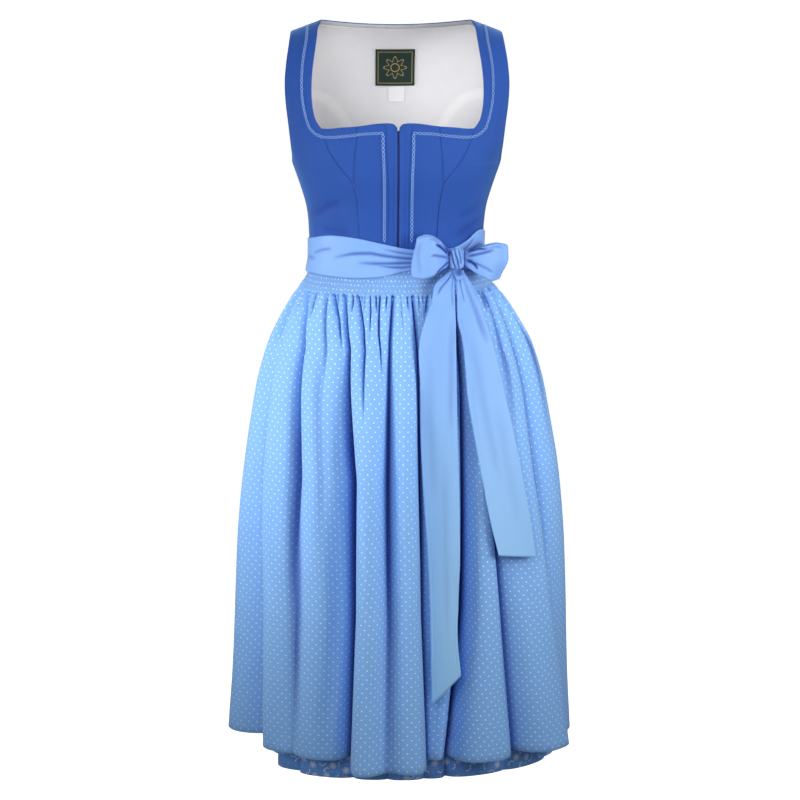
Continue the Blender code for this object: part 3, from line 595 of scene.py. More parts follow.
def folded_row(folds, flanks, cloth, drop):
    """Angles and heights off the ring, for all threads of the cloth at one drop."""
    valley = np.array([at_heights(fold[:5], drop) for fold in folds])
    floor = np.array([grown(0.4 * fold[5], fold[5], fold[6], drop) for fold in folds])
    ridge = np.array([grown(fold[7], fold[8], fold[9], drop) for fold in folds])
    lean = np.array([fold[10] for fold in folds]) * smoothstep(FOLD_HEIGHTS[0], FOLD_HEIGHTS[-1], drop)
    gather = np.array([fold[0] for fold in folds])
    i = np.clip(np.searchsorted(gather, cloth, side="right") - 1, 0, len(folds) - 2)
    t = (cloth - gather[i]) / (gather[i + 1] - gather[i])
    steep = np.array(flanks)[i]
    squeeze = mix(steep[:, 0], steep[:, 1], smoothstep(0.2, 0.8, t))
    squeeze = squeeze * smoothstep(*FLANK_DROPS, drop)
    shift = lean[i] * np.sin(np.pi * t) - squeeze * np.sin(2 * np.pi * t) / (2 * np.pi)
    angle = mix(valley[i], valley[i + 1], t + shift)
    crown = (1 - np.cos(2 * np.pi * t)) / 2
    crown = 1 - (1 - crown) ** mix(1.0, HEM_SQUARENESS, smoothstep(*SQUARE_DROPS, drop))
    return angle, mix(mix(floor[i], floor[i + 1], smoothstep(0, 1, t)), ridge[i], crown)


def ring_row(angle, drop, lift):
    half, front, back = skirt_ring(drop)
    sine, cosine = np.sin(np.radians(angle)), np.cos(np.radians(angle))
    depth = np.where(cosine >= 0, front, back)
    outward = np.stack([sine * depth, -cosine * half], -1)
    outward = outward / np.linalg.norm(outward, axis=-1, keepdims=True)
    x = half * sine + outward[:, 0] * lift
    y = -depth * cosine + outward[:, 1] * lift
    return np.stack([x, y, np.full_like(x, -drop)], -1)


CELL_SHARES = (0.0, 0.035, 0.09, 0.18, 0.33, 0.5, 0.67, 0.82, 0.91, 0.965)
SHIRRING_DROPS = (352.0, 358.5, 365.0, 371.5)      # the rows of gathering thread
SHIRRING_DEPTH, SHIRRING_HALF_WIDTH = 0.45, 1.2
GATHER_DROP = 373.0                         # below the last thread the cloth springs free
SHOWN_WIDTH = [  # drop, how much of the cloth's width shows between the gathers
    (336, 0.50), (371, 0.52), (384, 0.80), (430, 0.92), (520, 0.96), (1065, 0.98)]
shown_width = curve(SHOWN_WIDTH)
WHOLE_LENGTH = 2000                         # where a fold ends that runs to the hem
LONG_FOLD_DROP = 800                        # a fold that ends below this widens on its way down
GROWTH_DROPS, WIDENING, DEEPENING = (430, 650), 1.3, 0.25
FOLD_STANDS = 0.35                          # the share of its length before a fold starts to fade
TROUGH_SHARPNESS = 1.6
LEAST_CELL = 0.35                           # no two folds come closer, in degrees
DEEPEST_TROUGH = 6.0
SHIRRING_ENDS = (372.0, 380.0)              # where the threads' hold on the cloth fades out
SIDE_SEAM_HALF_GAP = 0.05                   # in degrees
# The folds of the apron that start at its gathers: where each ends; half width and depth of its
# crease; reach to the left, to the right and depth of its trough; its path as (drop, gather).
APRON_LINES = [
    (440, 2.0, 4.0, 7, 7, 3.0, [(372, -92)]),
    (480, 2.4, 6.0, 6, 9, 3.5, [(372, -83), (394, -84.5)]),
    (WHOLE_LENGTH, 2.6, 7.0, 3, 9, 2.0, [(372, -75), (400, -78.5), (440, -80)]),
    (900, 3.0, 10.0, 7, 3, 3.5, [(372, -66.5), (386, -64), (402, -62)]),
    (420, 1.8, 5.0, 4, 7, 2.5, [(372, -56.5)]),
    (540, 2.5, 3.0, 7, 6, 4.4, [(370, -49.5), (378, -47), (394, -46)]),
    (470, 2.2, 7.0, 3, 8, 3.5, [(370, -43.4), (382, -41.2), (396, -39.2), (410, -37.8), (446, -37.4)]),
    (WHOLE_LENGTH, 2.2, 10.0, 2, 5, 2.5, [(370, -35.4), (384, -33.8), (404, -33)]),
    (575, 1.9, 7.0, 13, 2.5, 5.5, [(376, -24.6), (388, -23.2), (402, -21.6), (420, -20.4), (554, -19.4)]),
    (450, 1.0, 5.0, 4, 3, 1.5, [(376, -16.6), (396, -16.2), (420, -17.0), (438, -17.4)]),
    (505, 1.3, 7.0, 4, 4, 2.0, [(372, -10.8), (390, -11.2), (414, -12.2), (444, -13.4), (480, -14.6)]),
    (880, 2.2, 11.0, 1.5, 6, 3.0, [(372, -3.2), (404, -3.9), (440, -4.5)]),
    (436, 0.9, 2.5, 5, 5, 2.8, [(372, 1.2), (420, 1.6)]),
    (900, 1.7, 9.0, 3, 3, 2.0, [(372, 8.2), (400, 8.0)]),
    (402, 0.9, 4.0, 3, 3, 1.0, [(372, 11.8)]),
    (412, 1.8, 6.0, 5, 3, 2.5, [(372, 18.3), (388, 16.4), (408, 14.0)]),
    (450, 1.2, 5.0, 5, 4, 2.5, [(372, 26.5), (430, 25.0)]),
    (WHOLE_LENGTH, 2.6, 10.0, 5, 5, 3.0, [(372, 34), (400, 34)]),
    (430, 1.2, 5.0, 3, 5, 2.0, [(372, 42.5), (400, 41.5)]),
    (950, 1.6, 6.0, 4, 4, 2.0, [(372, 48), (400, 50)]),
    (412, 2.3, 8.0, 3, 3, 2.0, [(366, 55.0), (382, 57.4)]),
    (480, 3.3, 10.5, 3, 5, 3.0, [(364, 65.0), (374, 63.8), (390, 62.8), (402, 61.0), (420, 59),
                              (432, 58.2)]),
    (WHOLE_LENGTH, 2.8, 9.5, 3, 7, 2.5, [(370, 70.0), (380, 72.4), (392, 73.8), (430, 74.0), (520, 72)]),
    (475, 2.6, 8.5, 5, 6, 3.0, [(372, 85), (386, 83.2), (396, 81.4), (436, 80.6)]),
    (445, 2.0, 6.0, 5, 5, 1.5, [(372, 92)]),
]
APRON_LOW_TROUGHS = [  # soft hollows lower down: gather, half width, depth, from and to drop
    (-90, 9, 3.0, 560, 1100), (-70, 9, 4.5, 700, 1100), (-54, 7, 2.5, 520, 900), (-44, 10, 5.0, 640, 1100),
    (-39, 5, 2.0, 480, 720), (-26, 7, 2.5, 600, 1100), (-13, 6, 2.5, 560, 1100), (2, 5, 1.8, 520, 900),
    (17, 7, 2.5, 640, 1100), (42, 7, 3.0, 560, 1100), (60, 9, 4.0, 480, 1100), (80, 9, 3.5, 420, 1100),
    (88, 7, 2.5, 600, 1100),
]


TROUGH_STARTS, TROUGH_ENDS = 120, 160       # the lengths over which a trough deepens and fades
TROUGH_WANDER, WANDER_LENGTH = 1.6, 97.0
MM_PER_DEGREE = 3.1


def low_troughs(cloth, drop):
    lift = np.zeros_like(cloth)
    for gather, half_width, depth, first, last in APRON_LOW_TROUGHS:
        shown = smoothstep(first, first + TROUGH_STARTS, drop)
        shown = shown * (1 - smoothstep(last - TROUGH_ENDS, last, drop))
        wander = gather + TROUGH_WANDER * math.sin(drop / WANDER_LENGTH + gather)
        lift -= depth * shown * np.exp(-((cloth - wander) * MM_PER_DEGREE / half_width) ** 2)
    return lift


def uneven(number):
    """A fixed, uneven value from 0 to 1 for each whole number."""
    return np.modf(np.sin(np.asarray(number, float) * 12.9898 + 4.137) * 43758.5453)[0] % 1.0


# The least and the spread of each column of a line, for the folds out of sight and for the notches.
HIDDEN_FOLDS = ((400, 190), (0.9, 1.1), (3.0, 5.0), (3, 4), (3, 4), (1.2, 2.4))
NOTCHES = ((383, 34), (1.0, 0.6), (3.0, 3.0), (3.0, 0), (3.0, 0), (1.3, 0))


def uneven_line(ranges, shares, path):
    return (*(least + spread * share for (least, spread), share in zip(ranges, shares)), path)


def hidden_lines(folds, start, end):
    """The same kind of folds for the cloth that is out of sight, starting from its main folds."""
    marks = [start] + [fold[0] for fold in folds if start < fold[0] < end] + [end]
    lines = []
    for a, b in zip(marks, marks[1:]):
        if a != start:
            lines.append((WHOLE_LENGTH, 2.0, 9.0, 4, 4, 2.5, [(372, a)]))
        count = max(1, int(round((b - a) / GATHER_PITCH)))
        for k in range(1, count):
            u, v, w = (float(uneven(7 * len(lines) + shift)) for shift in (3, 41, 97))
            place = a + (b - a) * (k + 0.5 * (u - 0.5)) / count
            path = [(372, place), (400, place + 1.2 * (v - 0.5)), (460, place + 3.0 * (v - 0.5))]
            lines.append(uneven_line(HIDDEN_FOLDS, (w ** 2.2, v, u, w, u, v), path))
    return lines


def with_notches(lines, start, end, pitch):
    """Fills the widths between the lines with short notches, one for each small gather."""
    marks = [start] + [line[6][0][1] for line in lines] + [end]
    notches = []
    for a, b in zip(marks, marks[1:]):
        count = int(round((b - a) / pitch))
        for k in range(1, count):
            u, v, w = (float(uneven(5 * len(notches) + shift)) for shift in (11, 29, 63))
            place = a + (b - a) * (k + 0.4 * (u - 0.5)) / count
            path = [(372, place), (400, place + 1.6 * (w - 0.5))]
            notches.append(uneven_line(NOTCHES, (v ** 1.8, w, u, 0, 0, 0), path))
    return sorted(lines + notches, key=lambda line: line[6][0][1])


class Gathers:
    """How a width of cloth is gathered: its lines of fold and the columns of its mesh between them."""

    def __init__(self, lines, start, end, pitch):
        lines = with_notches(lines, start, end, pitch)
        self.start, self.end = start, end
        self.paths = [line[6] for line in lines]
        self.ends, self.half, self.depth, self.left, self.right, self.trough = (
            np.array([line[i] for line in lines], float) for i in range(6))
        cells = len(lines) + 1
        cell = np.repeat(np.arange(cells), len(CELL_SHARES))
        self.of_column = np.append(cell, cells - 1)
        self.share = np.append(np.tile(CELL_SHARES, cells), 1.0)
        self.at_line = (np.arange(len(lines)) + 1) * len(CELL_SHARES)
        ridge = np.concatenate([[0], np.cumsum(self.ends >= WHOLE_LENGTH)])
        self.ridge = ridge[cell]
        first = [int(np.argmax(self.ridge == number)) for number in range(ridge[-1] + 1)]
        last = first[1:] + [len(cell)]
        self.ridge_span = np.array([first, last])

    def cloth(self, drop):
        """Which thread of the cloth each column follows at one drop."""
        places = [float(np.interp(drop, *zip(*path))) for path in self.paths]
        borders = np.array([self.start] + places + [self.end])
        apart = LEAST_CELL * np.arange(len(borders))
        borders = np.maximum.accumulate(borders - apart) + apart
        borders = np.minimum(borders, self.end - apart[::-1])
        return mix(borders[self.of_column], borders[self.of_column + 1], self.share)

    def lift(self, angle, drop):
        """The creases and troughs along the lines, each fading out where it ends."""
        per_degree = math.radians(float(np.mean(skirt_ring(drop))))
        across = (angle[None, :] - angle[self.at_line][:, None]) * per_degree
        length = self.ends - GATHER_DROP
        stands = 1 - smoothstep(GATHER_DROP + FOLD_STANDS * length, self.ends, drop)
        closed = smoothstep(GATHER_DROP, GATHER_DROP + 6.0, drop)
        grows = np.where(self.ends > LONG_FOLD_DROP, smoothstep(*GROWTH_DROPS, drop), 0.0)
        half = self.half * (1 + WIDENING * grows)
        deep = self.depth * (1 + DEEPENING * grows) * stands
        crease = np.exp(-(across / half[:, None]) ** 2) * deep[:, None]
        reach = np.where(across < 0, self.left[:, None], self.right[:, None])
        soft = np.exp(-abs(across / reach) ** TROUGH_SHARPNESS) * (self.trough * stands)[:, None]
        opened = smoothstep(GATHER_DROP - 4, GATHER_DROP + 12, drop)
        return opened - closed * crease.max(0) - opened * np.minimum(soft.sum(0), DEEPEST_TROUGH)


# Fine wrinkles between the gathers, which the solids leave out: drop, height.
FINE_HEIGHTS = [(336, 0.05), (372, 0.10), (384, 0.35), (430, 0.35), (500, 0.25), (620, 0.12), (1065, 0.08)]
fine_height = curve(FINE_HEIGHTS)


def fine_waves(cloth, drop):
    a = np.sin(cloth * 4.1 + 1.4 * np.sin(cloth * 0.57) + 0.004 * drop)
    b = np.sin(cloth * 6.7 + 2.0 * np.sin(cloth * 0.23 + 1.0) - 0.006 * drop)
    return fine_height(drop) * (0.6 * a + 0.4 * b)


def shirring(drop):
    """The gathering threads pull the cloth in along their rows."""
    rows = sum(math.exp(-((drop - row) / SHIRRING_HALF_WIDTH) ** 2) for row in SHIRRING_DROPS)
    return -SHIRRING_DEPTH * rows


def apron_row(gathers, drop):
    cloth = gathers.cloth(drop)
    angle, height = folded_row(APRON_FOLDS, APRON_FLANKS, cloth, drop)
    lift = apron_lift(drop) + height + gathers.lift(angle, drop) + fine_waves(cloth, drop)
    lift = lift + low_troughs(cloth, drop) + shirring(drop)
    return ring_row(angle, drop, lift)


UNDER_APRON = [(336, 0.0), (372, -1.5), (400, -7.0), (900, -8.0), (1010, 0.0), (1065, 0.0)]
OUT_OF_APRON, UNDER_APRON_EDGE = (98.0, 112.0), (80.0, 97.0)     # angles
under_apron = curve(UNDER_APRON)


def skirt_row(gathers, drop):
    """The skirt hangs almost smooth under the apron, and gathered at the sides and behind."""
    cloth = gathers.cloth(drop)
    angle, height = folded_row(SKIRT_FOLDS, SKIRT_FLANKS, cloth, drop)
    turned = abs(np.where(cloth <= 180, cloth, cloth - 360))
    shown = smoothstep(*OUT_OF_APRON, turned)
    covered = (1 - smoothstep(*UNDER_APRON_EDGE, turned)) * under_apron(drop)
    lift = height + covered + shown * (gathers.lift(angle, drop) + fine_waves(cloth, drop))
    return ring_row(angle, drop, lift)


HEM_GAP = 0.9
HEM_SHARES = (0.05, 0.4, 1.0)               # the rows of the turned-up hem, as shares of its depth


def hem_rows(points, depth):
    """Rows that turn the cloth up on the inside, so that the hem is a folded edge."""
    normal = grid_normals(points)[-1]
    facing = np.where((normal * points[-1] * HORIZONTAL).sum(-1, keepdims=True) > 0, 1.0, -1.0)
    inner = normal * facing * HEM_GAP
    height = -points[:, 0, 2]
    rows = [points[-1] - inner * 0.6 + np.array([0, 0, -0.5])]
    for share in HEM_SHARES:
        risen = height[-1] - share * depth
        i = min(max(int(np.searchsorted(height, risen)) - 1, 0), len(height) - 2)
        t = (risen - height[i]) / (height[i + 1] - height[i])
        rows.append(points[i] * (1 - t) + points[i + 1] * t - inner)
    return np.array(rows)


def smoothed(points, reach):
    """Every row of the cloth with the waves that are shorter than the reach taken out."""
    weights = np.exp(-0.5 * (np.arange(-2 * reach, 2 * reach + 1) / reach) ** 2)
    result = points.copy()
    for row, along in zip(result, arc_length(points, 1)):
        places = np.arange(0.0, along[-1] + 1.0)
        for axis in (0, 1):
            line = np.pad(np.interp(places, along, row[:, axis]), len(weights) // 2, mode="edge")
            row[:, axis] = np.interp(along, places, np.convolve(line, weights / weights.sum(), "valid"))
    return result


FOLD_SCALES = ((6, 3.6), (22, 13.0))        # width of a fold that counts, and how deep a fold is for the full painted shade


def fold_shade(points):
    """How much painted shade the cloth gets: 0 on the open cloth, up to 1 deep inside a fold or a gather.
    """
    away = points * HORIZONTAL
    away = away / np.linalg.norm(away, axis=-1, keepdims=True)
    narrow, wide = (((smoothed(points, reach) - points) * away).sum(-1) / full
                    for reach, full in FOLD_SCALES)
    return smoothstep(0.12, 1.0, np.maximum(narrow, wide))


# Painted shade in the deepest folds of the apron, where hardly any light comes in: the gather, its reach to
# the left and right, the strength of its painted shade, and the drops where it starts, is full and ends.
DEEP_FADE = 200                             # the length over which its painted shade fades out at the end
DEEP_FOLD_SHADES = [
    (-80, 13, 5, 0.6, 480, 620, 1300),
    (-62, 13, 12, 0.85, 470, 600, 1060),
    (-48, 7, 7, 0.35, 430, 520, 800),
    (-33, 22, 17, 1.0, 430, 600, 1300),
    (-4.5, 8, 10, 0.65, 430, 600, 1000),
    (8.2, 6, 6, 0.7, 430, 560, 1000),
    (33, 11, 10, 1.0, 400, 430, 960),
    (47, 13, 8, 0.8, 560, 660, 1060),
    (60, 7, 6, 0.8, 368, 385, 620),
    (73, 7, 8, 1.0, 368, 385, 1000),
    (83, 7, 6, 0.9, 368, 385, 620),
]


def painted_deep_fold_shade(points, gathers, drops):
    """How much painted shade the table of deep folds puts on the cloth, from 0 to 1."""
    arc = arc_length(points, 1)
    mark = np.zeros(arc.shape)
    for gather, left, right, shade, start, full, end in DEEP_FOLD_SHADES:
        for row, drop in enumerate(drops):
            off = arc[row] - np.interp(gather, gathers.cloth(drop), arc[row])
            shown = shade * smoothstep(start, full, drop) * (1 - smoothstep(end - DEEP_FADE, end, drop))
            inside = np.exp(-(abs(off) / np.where(off < 0, left, right)) ** 3)
            mark[row] = np.maximum(mark[row], shown * inside)
    return mark


def gathered(name, row, gathers, drops, material, slot, node, hem, deep=False):
    """A gathered width of cloth, with its turned-up hem.

    Its map keeps a strip of the cloth for each wide fold, measured from the middle of the strip at the
    hem. What the gathers hide is folded away between the strips.
    """
    points = np.stack([row(gathers, drop) for drop in drops])
    whole = np.concatenate([points, hem_rows(points, hem)], 0)
    down = np.concatenate([drops, [drops[-1] + 0.5], drops[-1] + hem * np.array(HEM_SHARES)])
    piece = sheet(name, whole, np.zeros(whole.shape[:2] + (2,)), material)

    last = len(drops) - 1
    row_used = np.minimum(np.arange(len(down)), last)
    arc = arc_length(points, 1)
    half_way = arc[last][gathers.ridge_span].mean(0)
    middle = arc[:, np.searchsorted(arc[last], half_way)]
    centre = half_way - arc[last][arc.shape[1] // 2]

    mesh = piece.data
    corner_row, corner_column = np.divmod(read(mesh.loops, "vertex_index", np.int32), whole.shape[1])
    strip = np.repeat(gathers.ridge[corner_column.reshape(-1, 4).min(1)], 4)
    on_cloth = row_used[corner_row]
    shown = shown_width(drops)[on_cloth]
    u = centre[strip] + (arc[on_cloth, corner_column] - middle[on_cloth, strip]) / shown
    set_cloth_map(mesh, np.stack([u, -down[corner_row]], -1))
    set_mark(mesh, "shown_width", shown, "CORNER")
    set_mark(mesh, "shirred", 1 - smoothstep(*SHIRRING_ENDS, down[corner_row]), "CORNER")
    depth = fold_shade(points)
    # Painted shade: the deepest folds of the apron are darkened on top of the fold shade.
    if deep:
        depth = np.maximum(depth, painted_deep_fold_shade(points, gathers, drops))
    set_mark(mesh, "fold_shade", depth[on_cloth, corner_column], "CORNER")

    finish_piece(piece, slot, node)


def drops_for(start, coarse_from, end, coarse):
    return np.concatenate([np.arange(start, 400.0, 1.8), np.linspace(400.0, coarse_from, 18)[:-1],
                           np.linspace(coarse_from, end, coarse)])


def make_skirts():
    edge, side = APRON_EDGE_ANGLE, 90 - SIDE_SEAM_HALF_GAP
    fine, coarse = 3.1, 9.0
    gathered("apron_cloth", apron_row, Gathers(APRON_LINES, -edge, edge, fine),
             drops_for(APRON_TOP_DROP, 480, APRON_HEM_DROP, 58), DOTTED, "apron_cotton", "apron", 24.0,
             deep=True)
    for node, start, end, pitch, coarse_from, rows, rests in (
            ("skirt_front", -side, side, coarse, 470, 50,
             ["side_front_left_cloth", "side_front_right_cloth"]),
            ("skirt_back", 180 - side, 180 + side, fine, 480, 60, ["back_center_cloth"])):
        gathered(node + "_cloth", skirt_row,
                 Gathers(hidden_lines(SKIRT_FOLDS, start, end), start, end, pitch),
                 drops_for(WAIST_DROP + 0.5, coarse_from, SKIRT_HEM_DROP, rows), PRINTED, "skirt_print",
                 node, 30.0)


# ---------------------------------------------------------------- sash and bow surfaces
# Creases of the sash: points along each as (angle, share of the width from the upper edge), then its
# half width and its depth. They gather towards the knot.
SASH_CREASES = [
    ([(-68, 0.44), (-57, 0.36), (-46, 0.32)], 2.0, -1.0),
    ([(-46, 0.56), (-30, 0.40), (-16.6, 0.33), (-4, 0.38), (12, 0.47), (34, 0.5)], 2.0, -1.7),
    ([(-27, 0.62), (-8, 0.60), (10, 0.65), (34, 0.6)], 1.9, -1.6),
    ([(-14, 0.63), (-4, 0.74), (4, 0.83), (14, 0.8), (34, 0.72)], 1.6, -1.5),
    ([(-10, 0.16), (6, 0.22), (34, 0.35)], 1.7, -1.2),
    ([(-95, 0.60), (-80, 0.54), (-64, 0.60)], 2.6, -0.9),
    ([(43, 0.48), (54, 0.40), (68, 0.36), (88, 0.44)], 2.2, -1.6),
    ([(43, 0.62), (58, 0.58), (76, 0.66), (98, 0.72)], 2.2, -1.4),
    ([(44, 0.34), (52, 0.22), (60, 0.10)], 1.8, -1.2),
    ([(118, 0.34), (138, 0.42), (158, 0.38)], 2.8, -1.0),
    ([(150, 0.66), (172, 0.60), (192, 0.66)], 2.8, -1.1),
    ([(200, 0.32), (222, 0.42), (244, 0.40)], 2.6, -1.0),
    ([(228, 0.72), (244, 0.66), (262, 0.70)], 2.4, -0.9),
]
KNOT_CENTRE = (81.5, -96.6, 325.5)
KNOT_SIZE = (24.0, 17.0, 31.0)
RIGHT_LOOP = [  # from the knot outwards: x, upper and lower edge, y of the middle, half thickness
    (70.6, 317, 335, -97.6, 3.0),
    (61, 303, 339.5, -106.5, 8.0),
    (48, 293, 346, -114.5, 11.0),
    (33, 291, 350, -116, 11.0),
    (22, 293, 349, -115, 7.5),
]
LEFT_LOOP = [
    (92.1, 316, 335, -96.6, 3.0),
    (104, 312.5, 343, -97, 7.0),
    (119, 308, 351, -94, 10.5),
    (136, 305, 357, -87, 10.5),
    (148.5, 307, 356, -81, 6.5),
]
# Pleats that run from the knot into the loops: points as (x, drop), half width, depth.
RIGHT_LOOP_PLEATS = [
    ([(71.5, 321), (66, 313), (58, 306), (51, 302)], 1.9, -3.6),
    ([(71.5, 325), (62, 321), (50, 318), (43, 319)], 1.5, -2.2),
    ([(71.5, 329), (65, 334), (57, 340), (52, 346)], 1.8, -3.2),
    ([(58, 302), (50, 296), (40, 294)], 2.2, -1.2),
    ([(30, 296), (27, 318), (30, 344)], 3.0, -0.7),
]
LEFT_LOOP_PLEATS = [
    ([(92, 319), (100, 314), (112, 311), (124, 312)], 1.6, -3.4),
    ([(92, 323), (104, 320), (118, 317), (134, 313)], 1.5, -2.8),
    ([(92, 328), (99, 329), (106, 333), (110, 340)], 2.2, -3.6),
    ([(104, 330), (120, 338), (132, 346)], 2.0, -1.4),
    ([(124, 312), (136, 309), (146, 312)], 2.0, -1.0),
]
RIGHT_TAIL = [  # drop, left and right edge, y at each, swell
    (341.3, 72.5, 80.3, -97.5, -96.5, 0.5),
    (356, 53, 78, -113, -111, 2.0),
    (380, 45.5, 78.3, -124, -121, 3.0),
    (406, 36, 79, -134, -130, 4.0),
    (432, 29, 79.3, -138, -134, 4.5),
    (490, 28.8, 80.2, -145, -140, 4.0),
    (558, 29.3, 81, -151, -148, 3.0),
    (626, 32, 83, -156, -154, 3.5),
    (680, 35.5, 84, -160, -159, 3.0),
    (740, 39.5, 84.5, -164, -164, 3.0),
    (800, 42, 82, -168, -168, 2.5),
    (850, 43, 81.5, -171, -172, 2.5),
    (902, 45, 86, -174, -175, 2.0),
]
LEFT_TAIL = [
    (341.3, 82.6, 90, -96.5, -95.5, 0.5),
    (356, 80.5, 100, -111, -105, 2.0),
    (380, 80.5, 112, -121, -112, 3.0),
    (406, 81, 121, -130, -118, 4.0),
    (436, 87.5, 130.5, -134, -122, 4.0),
    (476, 92, 141, -140, -125, 3.5),
    (516, 95.5, 150, -145, -126, 3.0),
    (555, 102, 159, -149, -127, 3.0),
    (604, 111, 169.5, -153, -128, 2.5),
    (654, 120.5, 179.5, -157, -128, 2.5),
    (690, 128, 186, -160, -128, 2.0),
    (733, 139, 194, -162, -128, 1.5),
]
RIGHT_TAIL_POINT = 43.0
LEFT_TAIL_POINT = -11.0
# Soft folds down the tails: points as (share of the width, drop), half width, depth.
RIGHT_TAIL_FOLDS = [
    ([(0.62, 343), (0.52, 352), (0.34, 362), (0.20, 372)], 3.0, -3.0),
    ([(0.88, 344), (0.86, 366), (0.90, 390)], 2.2, -1.8),
    ([(0.86, 400), (0.84, 470), (0.80, 560)], 4.0, -1.4),
    ([(0.30, 440), (0.24, 540), (0.28, 660)], 6.0, -0.8),
    ([(0.60, 600), (0.52, 720), (0.60, 850)], 6.0, -0.7),
]
LEFT_TAIL_FOLDS = [
    ([(0.20, 346), (0.26, 362), (0.30, 384)], 2.0, -1.8),
    ([(0.55, 346), (0.62, 372), (0.74, 400), (0.80, 440)], 4.5, -2.3),
    ([(0.90, 352), (0.95, 380)], 2.5, -1.6),
    ([(0.30, 430), (0.34, 520), (0.42, 640)], 6.0, -0.9),
    ([(0.72, 520), (0.66, 610), (0.70, 700)], 6.0, -0.7),
]
UNDER_LOOP_X = (77.5, 91.0)
UNDER_LOOP_DROPS = (340.6, 353.0)
KNOT_ROUNDNESS, KNOT_WAIST = 0.35, 0.12
# A crease this deep gets the full painted shade.
SASH_FULL, LOOP_FULL, TAIL_FULL, KNOT_FULL = 1.9, 2.8, 6.0, 2.4
SASH_COLUMNS, LOOP_COLUMNS, TURN_COLUMNS = 560, 34, 16
SASH_WAVES = (0.35, 7, 5)                   # height, number round the body, slant
LOOP_BELLY, LOOP_END_DROOP = 1.3, 1.2
LOOP_PUCKERS = (0.4, 5.0, 22.0, 0.8)        # height, reach from the knot, number, phase
LOOP_SHADOW = (0.75, 3.5)                   # painted shadow beside the knot: its strength, reach
TAIL_FINE_END, TAIL_ROWS = 440, (60, 120)   # the rows are closer together above this drop
TAIL_WAVES = (0.5, 61.0, 3.0)               # height, length, slant
TAIL_STITCH = (4.6, 0.7, 0.35)              # a tail's sewn line: from the edge, half width, depth
TAIL_TURNED_EDGE = 0.7
LABEL_BOX = (-28.0, 29.0, 40.0, 95.0)        # x from, x to, top drop, bottom drop
CARE_LABEL_BOX = (-9.0, 14.0, 96.0, 119.0)
RIBBON_WALL = 1.3
RIBBON_TURNED_EDGE, TURNED_REACH = 0.8, 2.2
TAIL_WIDTH = 50.0               # the width that the tables of folds are drawn for


def trough(points, line, half_width, depth):
    """Depth of a crease that follows a line of points, fading out at both of its ends."""
    line = np.asarray(line, float)
    nearest = np.full(points.shape[:-1], np.inf)
    share = np.zeros(points.shape[:-1])
    legs = np.linalg.norm(np.diff(line, axis=0), axis=-1)
    walked = 0.0
    for a, b, leg in zip(line, line[1:], legs):
        held = np.clip(((points - a) @ (b - a)) / leg ** 2, 0.0, 1.0)
        distance = np.linalg.norm(points - (a + held[..., None] * (b - a)), axis=-1)
        closer = distance < nearest
        nearest = np.where(closer, distance, nearest)
        share = np.where(closer, (walked + held * leg) / legs.sum(), share)
        walked += leg
    ends = np.clip(np.minimum(share, 1 - share) * 5.0, 0.0, 1.0) ** 0.7
    return depth * np.exp(-(nearest / half_width) ** 2) * ends


def press(places, lift, table, full_depth, placed=lambda line: line):
    """Adds a table's creases to a lift, and marks how much painted shade they put on the cloth, up to 1."""
    painted_shade = np.zeros(places.shape[:-1])
    for line, half_width, depth in table:
        crease = trough(places, placed(np.array(line, float)), half_width, depth)
        lift, painted_shade = lift + crease, np.maximum(painted_shade, -crease / full_depth)
    return lift, painted_shade


def turned_edge(width_share, width, depth=RIBBON_TURNED_EDGE):
    """A folded edge rolls down over its last two millimetres or so."""
    from_edge = np.minimum(width_share, 1 - width_share) * width
    return -depth * (1 - smoothstep(0.0, TURNED_REACH, from_edge)) ** 2


def outward(points, axis):
    """The grid's normals, turned away from a vertical axis."""
    normal = grid_normals(points)
    away = (points - np.array([axis[0], axis[1], 0.0])) * HORIZONTAL
    return normal * np.sign((normal * away).sum())


def across_shares(ends, first, count):
    """Shares of a ribbon's width, close together at its two turned edges."""
    ends = np.array(ends)
    return np.concatenate([ends, np.linspace(first, 1 - first, count), 1 - ends[::-1]])


def make_ribbon(node, points, lift, painted_shade, axis):
    """Finishes a part of the sash: its creases are pressed in, their painted shade is marked on it, and its
    cloth gets its thickness.
    """
    points = points + outward(points, axis) * lift[..., None]
    piece = wall(sheet(node + "_cloth", points, measured_grid(points), SATIN, axis,
                       {"fold_shade": painted_shade}), RIBBON_WALL)
    finish_cloth(piece, "sash_satin", node, points)


def sash_points(angle, across):
    turned = (angle + 180) % 360 - 180
    top, bottom = sash_edge(turned)
    drop = mix(top, bottom, across)
    half, front, back = sash_ring(drop)
    sine = np.sin(np.radians(turned))
    depth = (1 - np.minimum(abs(sine), 1.0) ** TORSO_POWER) ** (1 / TORSO_POWER)
    y = np.where(abs(turned) <= 90, -front, back) * depth
    return np.stack([half * sine, y, -drop + 0 * y], -1)


def sash_line(path):
    """A crease's line on the sash, from its points as (angle, share)."""
    steps = np.linspace(0, len(path) - 1, 4 * len(path))
    return sash_points(*(np.interp(steps, range(len(path)), path[:, i]) for i in (0, 1)))


def make_sash():
    across = across_shares([0, 0.012, 0.03, 0.05], 0.075, 36)[:, None]
    angle = np.linspace(KNOT_ANGLE + 0.4, KNOT_ANGLE + 359.6, SASH_COLUMNS)[None, :]
    angle, across = np.broadcast_arrays(angle, across)
    points = sash_points(angle, across)
    lift, painted_shade = press(points, turned_edge(across, 45.0), SASH_CREASES, SASH_FULL, sash_line)
    height, number, slant = SASH_WAVES
    lift = lift + height * np.sin(np.radians(angle) * number + across * slant) * np.sin(np.pi * across)
    make_ribbon("sash_band", points, lift, painted_shade, (0.0, 0.0))


